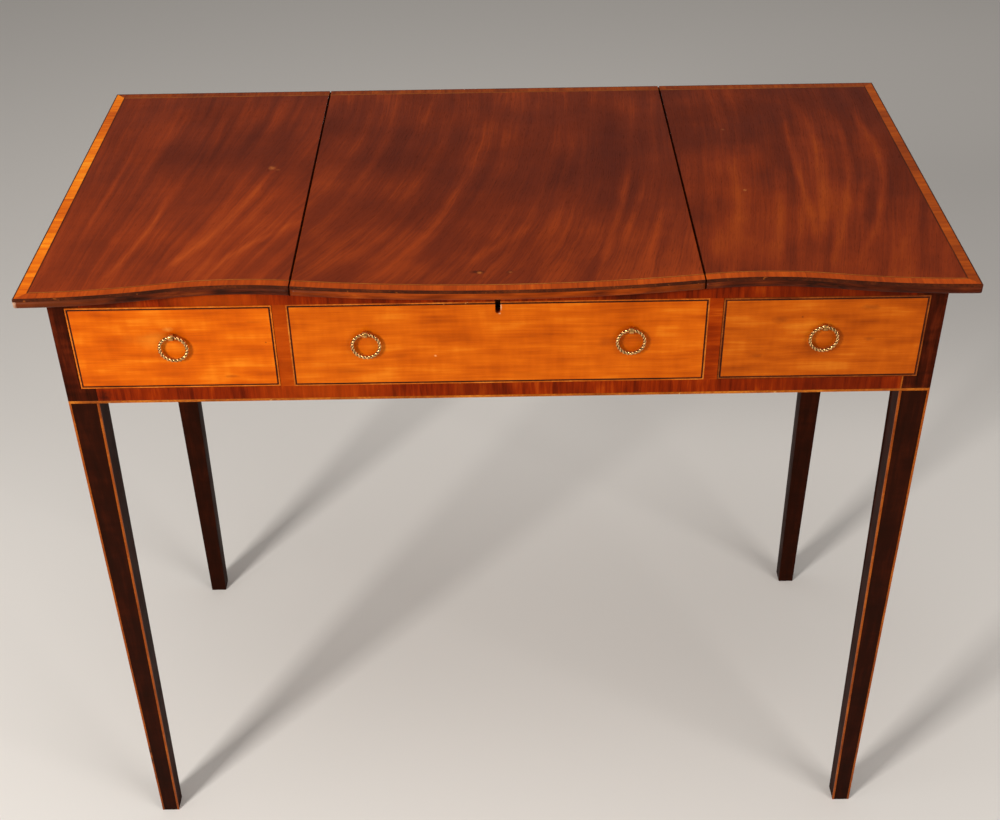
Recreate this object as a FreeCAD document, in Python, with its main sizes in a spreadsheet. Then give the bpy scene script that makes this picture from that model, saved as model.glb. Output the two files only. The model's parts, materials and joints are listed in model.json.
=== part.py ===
import FreeCAD, Part
import math
import os
import re

# A dressing table in mahogany and satinwood on square tapered legs. The serpentine top is three
# lids hinged at the back over a mirror well and two shallow trays, with a drawer under each tray.
# Millimetres: X runs left to right, Y front to back, Z up, origin on the floor under the middle.

SIZES = (
    # whole table
    ("table_height", 780.0),
    ("top_width", 924.0),
    ("top_depth", 482.0),
    ("side_overhang", 22.0),
    ("front_overhang", 25.0),
    ("back_overhang", 25.0),
    ("frieze_height", 129.0),
    # clearances: a flat seat, a drawer front in its opening, a pin in its bore
    ("seat_gap", 0.3),
    ("drawer_gap", 0.5),
    ("front_clearance", 1.0),
    ("bore_clearance", 0.05),
    # legs and their boxwood lines
    ("leg_top", 31.0),
    ("leg_foot", 21.0),
    ("arris_string", 2.4),
    ("edge_string", 3.0),
    # front framing, veneers and inlaid lines
    ("rail_height", 15.0),
    ("bottom_rail_height", 18.0),
    ("bottom_rail_depth", 40.0),
    ("veneer_thickness", 1.2),
    ("divider_centre", 214.2),
    ("divider_width", 13.5),
    ("leg_margin", 16.0),
    ("front_thickness", 18.0),
    ("lip_thickness", 8.0),
    ("light_line", 1.3),
    ("dark_line", 1.7),
    # carcase boards and their tenons
    ("side_thickness", 18.0),
    ("back_thickness", 16.0),
    ("partition_thickness", 10.0),
    ("well_floor", 8.0),
    ("tray_depth", 38.0),
    ("tray_floor", 6.0),
    ("tray_front", 8.0),
    ("rail_tenon", 18.0),
    ("tenon_length", 12.0),
    ("tenon_thickness", 7.0),
    ("tenon_shoulder", 4.0),
    # drawers and what they run on
    ("drawer_back_clearance", 26.0),
    ("drawer_headroom", 9.0),
    ("drawer_side", 9.0),
    ("drawer_back", 9.0),
    ("drawer_bottom", 6.0),
    ("bottom_rise", 2.0),
    ("runner_width", 26.0),
    ("guide_height", 20.0),
    # lids, banding and the serpentine front
    ("lid_thickness", 10.7),
    ("seam_position", 200.5),
    ("seam_gap", 1.8),
    ("bow_setback", 2.0),
    ("bow_radius", 1480.0),
    ("hollow_radius", 400.0),
    ("band_width", 11.0),
    ("band_thickness", 1.2),
    ("lid_string", 1.8),
    # lid hinges
    ("hinge_length", 40.0),
    ("hinge_inset", 40.0),
    ("leaf_width", 16.0),
    ("leaf_thickness", 1.6),
    ("knuckle_radius", 3.0),
    ("hinge_pin", 1.2),
    ("screw_head", 2.8),
    ("screw_shank", 1.5),
    ("screw_length", 11.0),
    ("screw_spacing", 26.0),
    ("screw_drop", 9.6),
    # ring pulls
    ("ring_radius", 13.6),
    ("ring_wire", 3.8),
    ("ring_spread", 131.5),
    ("ring_rise", 1.5),
    ("eye_standoff", 3.9),
    ("eye_radius", 3.6),
    ("eye_width", 4.4),
    ("eye_clearance", 0.4),
    ("shank_radius", 2.0),
    ("shank_length", 14.0),
    # lock, its bolt and the link under the middle lid
    ("lock_width", 60.0),
    ("lock_height", 42.0),
    ("lock_thickness", 10.0),
    ("lock_wall", 1.8),
    ("bolt_length", 18.0),
    ("bolt_width", 3.0),
    ("bolt_height", 4.2),
    ("bolt_throw", 6.0),
    ("link_thickness", 3.0),
    ("link_width", 6.4),
    ("link_drop", 9.6),
    ("link_eye", 2.0),
    ("link_plate", 1.6),
    ("link_plate_length", 36.0),
    ("keyhole_drop", 14.5),
    ("keyhole_radius", 3.5),
    ("keyhole_slot", 5.0),
    ("keyhole_length", 14.0),
    # looking-glass under the middle lid
    ("mirror_margin", 22.0),
    ("mirror_frame", 24.0),
    ("mirror_depth", 12.0),
    ("glass_thickness", 3.0),
    ("glass_rebate", 6.0),
)

PLACES = {
    "case_top": "table_height - lid_thickness - seat_gap",
    "case_bottom": "case_top - frieze_height",
    "lid_under": "table_height - lid_thickness",
    "case_x": "top_width / 2 - side_overhang",
    "front_y": "front_overhang - top_depth / 2",
    "back_y": "top_depth / 2 - back_overhang",
    "leg_x": "case_x - leg_top",
    "leg_front": "front_y + leg_top",
    "leg_back": "back_y - leg_top",
    "ground_y": "front_y + veneer_thickness",
    "rail_back": "front_y + front_thickness + front_clearance",
    "rail_middle": "(ground_y + rail_back) / 2",
    "bottom_rail_back": "front_y + bottom_rail_depth",
    "opening_low": "case_bottom + bottom_rail_height",
    "opening_high": "case_top - rail_height",
    "divider_in": "divider_centre - divider_width / 2",
    "divider_out": "divider_centre + divider_width / 2",
    "front_out": "case_x - leg_margin",
    "partition_in": "seam_position - partition_thickness / 2",
    "partition_out": "seam_position + partition_thickness / 2",
    "back_inner": "back_y - back_thickness",
    "back_middle": "back_y - back_thickness / 2",
    "side_inner": "case_x - side_thickness",
    "side_middle": "case_x - side_thickness / 2",
    "tray_low": "case_top - tray_depth - tray_floor",
    "drawer_low": "opening_low + seat_gap",
    "drawer_high": "tray_low - drawer_headroom",
    "drawer_in": "divider_out + drawer_gap",
    "drawer_out": "leg_x - drawer_gap",
    "drawer_start": "front_y + front_thickness",
    "drawer_length": "back_inner - drawer_back_clearance - drawer_start",
    "drawer_end": "drawer_start + drawer_length",
    "bottom_low": "drawer_low + bottom_rise",
    "bottom_high": "bottom_low + drawer_bottom",
    "pin_y": "back_y + knuckle_radius + seat_gap",
    "pin_z": "lid_under - knuckle_radius - seat_gap",
    "ring_y": "front_y - eye_standoff",
    "eye_z": "(opening_low + opening_high) / 2 + ring_rise + ring_radius",
    "eye_bore": "ring_wire / 2 + eye_clearance",
    "lock_front": "rail_back - lock_thickness",
    "lock_middle": "rail_back - lock_thickness / 2",
    "lock_low": "case_top - lock_height",
    "bolt_low": "link_low + link_eye",
    "bolt_high": "bolt_low + bolt_height",
    "bolt_rest": "link_thickness / 2 + front_clearance",
    "link_low": "lid_under - link_drop",
    "keyhole_z": "case_top - keyhole_drop",
    "keyhole_end": "lock_front + lock_wall",
    "mirror_x": "partition_in - mirror_margin",
    "mirror_front": "rail_back + mirror_margin",
    "mirror_back": "back_inner - mirror_margin",
    "mirror_low": "lid_under - mirror_depth",
    "glass_low": "lid_under - glass_thickness",
}

UP = FreeCAD.Vector(0, 0, 1)
TURN = {
    "x": FreeCAD.Rotation(FreeCAD.Vector(0, 1, 0), 90),
    "y": FreeCAD.Rotation(FreeCAD.Vector(1, 0, 0), -90),
}
SIDES = ("left", "right")
# spans of a leg along Y at its foot and at its top
LEG_DEPTHS = {
    "front": (("front_y", "front_y + leg_foot"), ("front_y", "leg_front")),
    "back": (("back_y - leg_foot", "back_y"), ("leg_back", "back_y")),
}
WORD = re.compile(r"[a-z]+(?:_[a-z]+)*")

doc = FreeCAD.newDocument("dressing_table")
sheet = doc.addObject("Spreadsheet::Sheet", "Sizes")
for row, (alias, number) in enumerate(SIZES, start=1):
    sheet.set(f"A{row}", alias)
    sheet.set(f"B{row}", str(number))
    sheet.setAlias(f"B{row}", alias)
doc.recompute()
nodes = []


def bound(text):
    """The expression with each size read from the sheet and each place worked out from sizes."""
    def full(match):
        word = match.group(0)
        if word in PLACES:
            return "(" + bound(PLACES[word]) + ")"
        return "Sizes." + word
    return WORD.sub(full, text)


def value(text):
    """The number that an expression of sizes and places stands for."""
    return float(sheet.evalExpression(bound(text)))


def across(span):
    """The same span on the other side of the middle."""
    low, high = span
    return f"-({high})", f"-({low})"


def on(side, span):
    """A span given for the right-hand side, on either side."""
    return span if side == "right" else across(span)


def at(side, place):
    """A place given for the right-hand side, on either side."""
    return place if side == "right" else f"-({place})"


def about(middle, size):
    """A span of the given size, centred on a place."""
    return f"{middle} - ({size}) / 2", f"{middle} + ({size}) / 2"


def block(name, xs, ys, zs):
    """A rectangular piece between two places along each axis."""
    piece = doc.addObject("Part::Box", name)
    for edge, axis, (low, high) in zip(("Length", "Width", "Height"), "xyz", (xs, ys, zs)):
        piece.setExpression(edge, bound(f"({high}) - ({low})"))
        piece.setExpression(f"Placement.Base.{axis}", bound(low))
    return piece


def placed(piece, axis, start):
    """Turns a round piece to lie along an axis and starts it at a place."""
    piece.Placement = FreeCAD.Placement(FreeCAD.Vector(), TURN[axis])
    for letter, place in zip("xyz", start):
        piece.setExpression(f"Placement.Base.{letter}", bound(place))
    return piece


def rod(name, axis, start, length, radius):
    """A round bar that runs along an axis from its start."""
    piece = doc.addObject("Part::Cylinder", name)
    piece.setExpression("Radius", bound(radius))
    piece.setExpression("Height", bound(length))
    return placed(piece, axis, start)


def taper(name, foot, top, zs):
    """A square bar whose section changes evenly from its foot to its top, both as x and y spans."""
    piece = doc.addObject("Part::Wedge", name)
    piece.Placement = FreeCAD.Placement(FreeCAD.Vector(), FreeCAD.Rotation(FreeCAD.Vector(1, 0, 0), 90))
    for prefix, (xs, ys) in (("", foot), ("2", top)):
        piece.setExpression(f"X{prefix}min", bound(xs[0]))
        piece.setExpression(f"X{prefix}max", bound(xs[1]))
        piece.setExpression(f"Z{prefix}min", bound(f"-({ys[1]})"))
        piece.setExpression(f"Z{prefix}max", bound(f"-({ys[0]})"))
    piece.setExpression("Ymin", bound(zs[0]))
    piece.setExpression("Ymax", bound(zs[1]))
    return piece


def joined(name, *pieces):
    """Pieces made as one solid."""
    piece = doc.addObject("Part::MultiFuse", name)
    piece.Shapes = list(pieces)
    piece.Refine = True
    return piece


def cut(name, base, *tools):
    """A piece with the space of other pieces taken out of it."""
    piece = doc.addObject("Part::Cut", name)
    piece.Base = base
    piece.Tool = tools[0] if len(tools) == 1 else joined(f"{name}_tools", *tools)
    piece.Refine = True
    return piece


def group(name, *pieces):
    """Separate solids of one kind, kept together."""
    piece = doc.addObject("Part::Compound", name)
    piece.Links = list(pieces)
    return piece


def node(label, piece):
    """Names a finished sub-part and keeps it for writing."""
    piece.Label = label
    nodes.append(piece)
    return piece


def tenons(name, length, ys, zs):
    """The two end tenons of a rail or board that runs from leg to leg along X."""
    xs = ("leg_x", f"leg_x + {length}")
    return [block(f"{name}_tenon_{side}", on(side, xs), ys, zs) for side in SIDES]


def shouldered(low, high):
    """A height range drawn in by the tenon's shoulders."""
    return f"{low} + tenon_shoulder", f"{high} - tenon_shoulder"


def keyhole_bore():
    """The keyhole: a round eye for the key's pin over a slot for the bit, into the lock's chamber."""
    depth = "keyhole_end - front_y"
    eye = rod("keyhole_eye", "y", ("0", "front_y", "keyhole_z"), depth, "keyhole_radius")
    foot = "keyhole_z - keyhole_length + keyhole_slot / 2"
    ys = ("front_y", "keyhole_end")
    slot = block("keyhole_slot_cut", about("0", "keyhole_slot"), ys, (foot, "keyhole_z"))
    round_foot = rod("keyhole_foot", "y", ("0", "front_y", foot), depth, "keyhole_slot / 2")
    return joined("keyhole", eye, slot, round_foot)


def framed_line(name, xs, zs, outer, inner):
    """A line of inlay round a front, between two distances from the front's edge."""
    def inset(span, distance):
        return f"{span[0]} + {distance}", f"{span[1]} - ({distance})"
    ys = ("front_y", "ground_y")
    outside = block(f"{name}_outside", inset(xs, outer), ys, inset(zs, outer))
    inside = block(f"{name}_inside", inset(xs, inner), ys, inset(zs, inner))
    return cut(name, outside, inside), inside


def faced(label, xs, zs, holes):
    """The face of a front: a satinwood panel inside a dark line inside a light line, bored with holes."""
    light, _ = framed_line(f"{label}_light", xs, zs, "0", "light_line")
    dark, panel = framed_line(f"{label}_dark", xs, zs, "light_line", "(light_line + dark_line)")
    node(f"{label}_veneer", cut(f"{label}_panel", panel, *holes))
    return light, dark


def ring_pull(label, x):
    """A ring that hangs in an eye, the eye with its shank, and the bore that the shank is driven into."""
    wire = doc.addObject("Part::Torus", f"{label}_wire")
    wire.setExpression("Radius1", bound("ring_radius"))
    wire.setExpression("Radius2", bound("ring_wire / 2"))
    node(f"ring_{label}", placed(wire, "y", (x, "ring_y", "eye_z - ring_radius")))
    start = f"{x} - eye_width / 2"
    barrel = rod(f"{label}_barrel", "x", (start, "ring_y", "eye_z"), "eye_width", "eye_radius")
    reach = "eye_standoff + shank_length"
    shank = rod(f"{label}_shank", "y", (x, "ring_y", "eye_z"), reach, "shank_radius")
    hole = rod(f"{label}_hole", "x", (start, "ring_y", "eye_z"), "eye_width", "eye_bore")
    eye = cut(f"{label}_eye", joined(f"{label}_eye_blank", barrel, shank), hole)
    depth = "shank_length + bore_clearance"
    bore = rod(f"{label}_bore", "y", (x, "front_y", "eye_z"), depth, "shank_radius + bore_clearance")
    return eye, bore


def arc(centre, radius, start, end):
    """The shorter arc about a centre between two points."""
    middle = (start - centre) + (end - centre)
    return Part.Arc(start, centre + middle.normalize() * radius, end).toShape()


def top_outline():
    """The plan of the whole top as a closed wire.

    Five tangent arcs make the serpentine front: a bow in the middle, a hollow on each side of it,
    and a shoulder that runs out square to each end.
    """
    end = value("top_width / 2")
    front = value("-top_depth / 2")
    bow = value("bow_radius")
    hollow = value("hollow_radius")
    lean = math.asin(value("seam_position") / bow)
    outward = FreeCAD.Vector(math.sin(lean), -math.cos(lean), 0)
    bow_centre = FreeCAD.Vector(0, front + value("bow_setback") + bow, 0)
    hollow_centre = bow_centre + outward * (bow + hollow)
    ahead = hollow_centre.y - front
    reach = end - hollow_centre.x
    shoulder = (reach ** 2 + ahead ** 2 - hollow ** 2) / (2 * (hollow + ahead))
    shoulder_centre = FreeCAD.Vector(end, front + shoulder, 0)
    toward = (hollow_centre - shoulder_centre).normalize()
    meets_bow = bow_centre + outward * bow
    meets_shoulder = shoulder_centre + toward * shoulder
    corner = FreeCAD.Vector(end, front, 0)
    back_corner = FreeCAD.Vector(end, value("top_depth / 2"), 0)

    def left(point):
        return FreeCAD.Vector(-point.x, point.y, point.z)

    edges = [
        arc(left(shoulder_centre), shoulder, left(corner), left(meets_shoulder)),
        arc(left(hollow_centre), hollow, left(meets_shoulder), left(meets_bow)),
        arc(bow_centre, bow, left(meets_bow), meets_bow),
        arc(hollow_centre, hollow, meets_bow, meets_shoulder),
        arc(shoulder_centre, shoulder, meets_shoulder, corner),
        Part.makeLine(corner, back_corner),
        Part.makeLine(back_corner, left(back_corner)),
        Part.makeLine(left(back_corner), left(corner)),
    ]
    return Part.Wire(edges)


def top_plate(inset, low, high):
    """The plan of the top, drawn in all round by an inset, as a plate between two heights."""
    outline = top_outline()
    if inset:
        outline = outline.makeOffset2D(-inset)
    face = Part.Face(outline)
    face.translate(UP * low)
    return face.extrude(UP * (high - low))


def feature(label, shape):
    """A sub-part whose shape follows the serpentine plan."""
    piece = doc.addObject("Part::Feature", label)
    piece.Shape = shape
    piece.Placement = FreeCAD.Placement()
    return node(label, piece)


def make_lids():
    """Three lids from one top: each a board, its crossbanded edge and the string inside the banding."""
    low = value("lid_under")
    high = value("table_height")
    inlay_low = high - value("band_thickness")
    band = value("band_width")
    string_end = band + value("lid_string")
    crossband = top_plate(0, inlay_low, high).cut(top_plate(band, inlay_low, high))
    string = top_plate(band, inlay_low, high).cut(top_plate(string_end, inlay_low, high))
    field = top_plate(0, low, high).cut(crossband).cut(string)
    plate_xs = value("link_plate_length")
    plate_ys = value("link_width")
    recess_corner = FreeCAD.Vector(-plate_xs / 2, value("lock_middle") - plate_ys / 2, low)
    recess = Part.makeBox(plate_xs, plate_ys, value("link_plate"), recess_corner)
    end = value("top_width / 2")
    inner = value("seam_position - seam_gap / 2")
    outer = value("seam_position + seam_gap / 2")
    for name, start, stop in (("left", -end, -outer), ("centre", -inner, inner), ("right", outer, end)):
        corner = FreeCAD.Vector(start, -value("top_depth"), 0)
        slab = Part.makeBox(stop - start, 2 * value("top_depth"), 2 * high, corner)
        feature(f"lid_{name}", field.common(slab).cut(recess))
        feature(f"lid_{name}_crossband", crossband.common(slab))
        feature(f"lid_{name}_string", string.common(slab))


def make_hinge(name, middle):
    """A butt hinge: a leaf on the back board, a leaf under the lid, its pin and the back leaf's screws."""
    third = "hinge_length / 6"
    whole = about(middle, "hinge_length")
    centre = (f"{middle} - {third} + seat_gap", f"{middle} + {third} - seat_gap")
    notch_xs = (f"{middle} - {third}", f"{middle} + {third}")
    ends = ((whole[0], notch_xs[0]), (notch_xs[1], whole[1]))
    leaf_y = ("back_y", "back_y + leaf_thickness")

    def knuckle(part, xs, radius):
        return rod(f"{name}_{part}", "x", (xs[0], "pin_y", "pin_z"), f"({xs[1]}) - ({xs[0]})", radius)

    bore = knuckle("bore", whole, "hinge_pin + bore_clearance")
    fixed_plate = block(f"{name}_plate", whole, leaf_y, ("pin_z - leaf_width", "pin_z"))
    swing = ("pin_z - knuckle_radius - seat_gap", "pin_z + knuckle_radius")
    notch = block(f"{name}_notch", notch_xs, leaf_y, swing)
    screws = []
    for index, sign in enumerate(("-", "+")):
        place = (f"{middle} {sign} screw_spacing / 2", "back_y", "pin_z - screw_drop")
        head = doc.addObject("Part::Cone", f"{name}_head_{index}")
        head.setExpression("Radius1", bound("screw_shank"))
        head.setExpression("Radius2", bound("screw_head"))
        head.setExpression("Height", bound("leaf_thickness"))
        placed(head, "y", place)
        tip = (place[0], "back_y - screw_length", place[2])
        shank = rod(f"{name}_shank_{index}", "y", tip, "screw_length", "screw_shank")
        screws.append(joined(f"{name}_screw_{index}", head, shank))
    fixed = joined(
        f"{name}_fixed_blank",
        cut(f"{name}_plate_notched", fixed_plate, notch, *screws),
        *[knuckle(f"end_{index}", xs, "knuckle_radius") for index, xs in enumerate(ends)],
    )
    lid_leaf_zs = ("lid_under - leaf_thickness", "lid_under")
    lid_plate = block(f"{name}_lid_plate", whole, ("pin_y", "pin_y + leaf_width"), lid_leaf_zs)
    clear_ys = ("pin_y", "pin_y + knuckle_radius + seat_gap")
    slots = [
        block(f"{name}_slot_{index}", xs, clear_ys, ("pin_z", "lid_under"))
        for index, xs in enumerate(((whole[0], centre[0]), (centre[1], whole[1])))
    ]
    moving = joined(
        f"{name}_moving_blank",
        cut(f"{name}_lid_plate_slotted", lid_plate, *slots),
        knuckle("middle", centre, "knuckle_radius"),
    )
    pin = knuckle("pin", whole, "hinge_pin")
    return cut(f"{name}_fixed", fixed, bore), cut(f"{name}_moving", moving, bore), pin, screws


def make_hinges():
    """A pair of hinges for each lid; returns the screws, whose holes the back board takes."""
    near = "(seam_position + hinge_inset + hinge_length / 2)"
    far = "(case_x - hinge_inset - hinge_length / 2)"
    middle = "(seam_position - hinge_inset - hinge_length / 2)"
    pairs = {"left": (f"-{far}", f"-{near}"), "centre": (f"-{middle}", middle), "right": (near, far)}
    fixed, pins, screws = [], [], []
    for lid, places in pairs.items():
        moving = []
        for index, place in enumerate(places):
            leaf, lid_leaf, pin, held = make_hinge(f"hinge_{lid}_{index}", place)
            fixed.append(leaf)
            moving.append(lid_leaf)
            pins.append(pin)
            screws.extend(held)
        node(f"lid_{lid}_hinge_leaves", group(f"{lid}_leaves", *moving))
    node("hinge_back_leaves", group("back_leaves", *fixed))
    node("hinge_pins", group("pins", *pins))
    node("hinge_screws", group("screws", *screws))
    return screws


def make_lock():
    """A cased lock behind the front, its sliding bolt, and the link that hangs from the middle lid."""
    lock_x = about("0", "lock_width")
    lock_y = ("lock_front", "rail_back")
    lock_z = ("lock_low", "case_top")
    recess = block("lock_recess", lock_x, lock_y, lock_z)
    body = block("lock_body", lock_x, lock_y, lock_z)
    chamber = block(
        "lock_chamber",
        ("lock_wall - lock_width / 2", "lock_width / 2 - lock_wall"),
        ("lock_front + lock_wall", "rail_back - lock_wall"),
        ("lock_low + lock_wall", "bolt_low - seat_gap - lock_wall"),
    )
    bolt_y = about("lock_middle", "bolt_width")
    channel = block(
        "bolt_channel",
        ("-bolt_throw - link_thickness", "bolt_rest + bolt_length + bore_clearance"),
        (f"{bolt_y[0]} - bore_clearance", f"{bolt_y[1]} + bore_clearance"),
        ("bolt_low - bore_clearance", "bolt_high + bore_clearance"),
    )
    mouth = block(
        "link_mouth",
        about("0", "link_thickness + 2 * drawer_gap"),
        about("lock_middle", "link_width + 2 * drawer_gap"),
        ("link_low - seat_gap", "case_top"),
    )
    keyhole = keyhole_bore()
    node("lock_case", cut("lock_shell", body, chamber, channel, mouth, keyhole))
    bolt_x = ("bolt_rest", "bolt_rest + bolt_length")
    node("lock_bolt", block("bolt", bolt_x, bolt_y, ("bolt_low", "bolt_high")))
    link_y = about("lock_middle", "link_width")
    plate_z = ("lid_under", "lid_under + link_plate")
    plate = block("link_plate_blank", about("0", "link_plate_length"), link_y, plate_z)
    hanger = block("link_hanger", about("0", "link_thickness"), link_y, ("link_low", "lid_under"))
    eye = block(
        "link_eye_cut",
        about("0", "link_thickness"),
        about("lock_middle", "bolt_width + 2 * seat_gap"),
        ("bolt_low - seat_gap", "bolt_high + seat_gap"),
    )
    node("lid_centre_lock_link", cut("link", joined("link_blank", plate, hanger), eye))
    return recess, keyhole


def make_front(recess, keyhole):
    """Rails, dividers, crossbanding and the fixed middle front; returns the rail tenons and edge line."""
    between = ("-(leg_x)", "leg_x")
    tenon_y = about("rail_middle", "tenon_thickness")
    high_tenons = tenons("top_rail", "rail_tenon", tenon_y, shouldered("opening_high", "case_top"))
    low_tenons = tenons("bottom_rail", "rail_tenon", tenon_y, shouldered("case_bottom", "opening_low"))
    edge = block(
        "edge_line",
        ("-(case_x)", "case_x"),
        ("front_y", "front_y + arris_string"),
        ("case_bottom", "case_bottom + edge_string"),
    )
    node("frieze_edge_string", edge)
    top = block("top_rail", between, ("ground_y", "rail_back"), ("opening_high", "case_top"))
    top = joined("top_rail_whole", top, *high_tenons)
    node("front_top_rail", cut("top_rail_bored", top, recess, keyhole))
    bottom_ys = ("ground_y", "bottom_rail_back")
    bottom = block("bottom_rail", between, bottom_ys, ("case_bottom", "opening_low"))
    bottom = joined("bottom_rail_whole", bottom, *low_tenons)
    node("front_bottom_rail", cut("bottom_rail_lined", bottom, edge))
    opening = ("opening_low", "opening_high")
    divider = ("divider_in", "divider_out")
    behind = ("ground_y", "rail_back")
    bars = [block(f"divider_{side}", on(side, divider), behind, opening) for side in SIDES]
    node("front_dividers", group("dividers", *bars))
    face = ("front_y", "ground_y")
    top_band = block("top_band", between, face, ("opening_high", "case_top"))
    bands = [
        cut("top_band_bored", top_band, keyhole),
        block("bottom_band", between, face, ("case_bottom + edge_string", "opening_low")),
        *[block(f"divider_band_{side}", on(side, divider), face, opening) for side in SIDES],
    ]
    node("frieze_crossbanding", group("crossbanding", *bands))
    middle_xs = ("-(divider_in)", "divider_in")
    eyes, bores = [], []
    for side in SIDES:
        eye, bore = ring_pull(f"centre_{side}", at(side, "ring_spread"))
        eyes.append(eye)
        bores.append(bore)
    node("ring_eyes_centre", group("centre_eyes", *eyes))
    board = block("middle_board", middle_xs, behind, opening)
    node("centre_front", cut("middle_board_bored", board, recess, keyhole, *bores))
    lines = faced("centre_front", middle_xs, opening, [keyhole, *bores])
    bored = [cut(f"{line.Name}_bored", line, keyhole) for line in lines]
    node("centre_front_lines", group("middle_lines", *bored))
    return high_tenons + low_tenons, edge


def make_carcase(screws):
    """Side boards, back board, partitions, floors, tray fronts and drawer runners."""
    tenon_z = ("opening_low", "opening_high")
    height = ("case_bottom", "case_top")
    side_xs = ("side_inner", "case_x")
    side_tenon_xs = about("side_middle", "tenon_thickness")
    mortises = []
    for side in SIDES:
        board = block(f"side_{side}", on(side, side_xs), ("leg_front", "leg_back"), height)
        ends = (("leg_front - tenon_length", "leg_front"), ("leg_back", "leg_back + tenon_length"))
        pair = [
            block(f"side_{side}_tenon_{index}", on(side, side_tenon_xs), ys, tenon_z)
            for index, ys in enumerate(ends)
        ]
        mortises.extend(pair)
        node(f"side_board_{side}", joined(f"side_{side}_whole", board, *pair))
    back_tenons = tenons("back", "tenon_length", about("back_middle", "tenon_thickness"), tenon_z)
    mortises.extend(back_tenons)
    back = block("back", ("-(leg_x)", "leg_x"), ("back_inner", "back_y"), height)
    node("back_board", cut("back_bored", joined("back_whole", back, *back_tenons), *screws))
    depth = ("rail_back", "back_inner")
    partition = ("partition_in", "partition_out")
    wall_z = ("opening_low", "case_top")
    walls = [block(f"partition_{side}", on(side, partition), depth, wall_z) for side in SIDES]
    node("partitions", group("partition_pair", *walls))
    well = ("opening_low", "opening_low + well_floor")
    node("well_bottom", block("well", ("-(partition_in)", "partition_in"), depth, well))
    return mortises


def make_trays(leg_blocks):
    """The shallow trays over the drawers: a floor notched round the legs and a front strip."""
    fronts, floors = [], []
    front_ys = ("rail_back", "rail_back + tray_front")
    for side in SIDES:
        xs = on(side, ("partition_out", "leg_x"))
        fronts.append(block(f"tray_front_{side}", xs, front_ys, ("tray_low", "case_top")))
        floor = block(
            f"tray_floor_{side}",
            on(side, ("partition_out", "side_inner")),
            (front_ys[1], "back_inner"),
            ("tray_low", "tray_low + tray_floor"),
        )
        corners = [leg_blocks[f"{end}_{side}"] for end in LEG_DEPTHS]
        floors.append(cut(f"tray_floor_{side}_notched", floor, *corners))
    node("tray_fronts", group("tray_front_pair", *fronts))
    node("tray_floors", group("tray_floor_pair", *floors))


def make_runners():
    """Runners level with the bottom rail, with guide strips on them that keep the drawers straight."""
    strips = []
    run_z = ("case_bottom", "opening_low")
    guide_z = ("opening_low", "opening_low + guide_height")
    for side in SIDES:
        inner = on(side, ("partition_in", "partition_out + runner_width"))
        outer = on(side, ("side_inner - runner_width", "side_inner"))
        inner_guide = on(side, ("partition_out", "divider_out"))
        outer_guide = on(side, ("leg_x", "side_inner"))
        strips += [
            block(f"runner_in_{side}", inner, ("bottom_rail_back", "back_inner"), run_z),
            block(f"runner_out_{side}", outer, ("bottom_rail_back", "leg_back"), run_z),
            block(f"guide_in_{side}", inner_guide, ("rail_back", "back_inner"), guide_z),
            block(f"guide_out_{side}", outer_guide, ("leg_front", "leg_back"), guide_z),
        ]
    node("drawer_runners", group("runner_set", *strips))


def make_legs(mortises, edge):
    """Four square legs, plumb outside and tapered on the two inner faces, the front pair lined."""
    lines, blocks = [], {}
    for side in SIDES:
        rebate = block(
            f"lip_rebate_{side}",
            on(side, ("leg_x", "front_out")),
            ("front_y", "front_y + lip_thickness + seat_gap"),
            ("opening_low", "opening_high"),
        )
        line_ys = ("front_y", "front_y + arris_string")
        outer_xs = on(side, ("case_x - arris_string", "case_x"))
        outer = block(f"leg_line_out_{side}", outer_xs, line_ys, ("0", "case_bottom"))
        inner = taper(
            f"leg_line_in_{side}",
            (on(side, ("case_x - leg_foot", "case_x - leg_foot + arris_string")), line_ys),
            (on(side, ("leg_x", "leg_x + arris_string")), line_ys),
            ("0", "case_bottom"),
        )
        lines.extend((outer, inner))
        for end in LEG_DEPTHS:
            name = f"{end}_{side}"
            foot_ys, top_ys = LEG_DEPTHS[end]
            top_xs = on(side, ("leg_x", "case_x"))
            blocks[name] = block(f"leg_block_{name}", top_xs, top_ys, ("case_bottom", "case_top"))
            shaft = taper(
                f"leg_shaft_{name}",
                (on(side, ("case_x - leg_foot", "case_x")), foot_ys),
                (top_xs, top_ys),
                ("0", "case_bottom"),
            )
            whole = joined(f"leg_blank_{name}", shaft, blocks[name])
            fitted = [rebate, outer, inner, edge] if end == "front" else []
            node(f"leg_{name}", cut(f"leg_cut_{name}", whole, *mortises, *fitted))
    node("leg_stringing", group("leg_lines", *lines))
    return blocks


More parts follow.
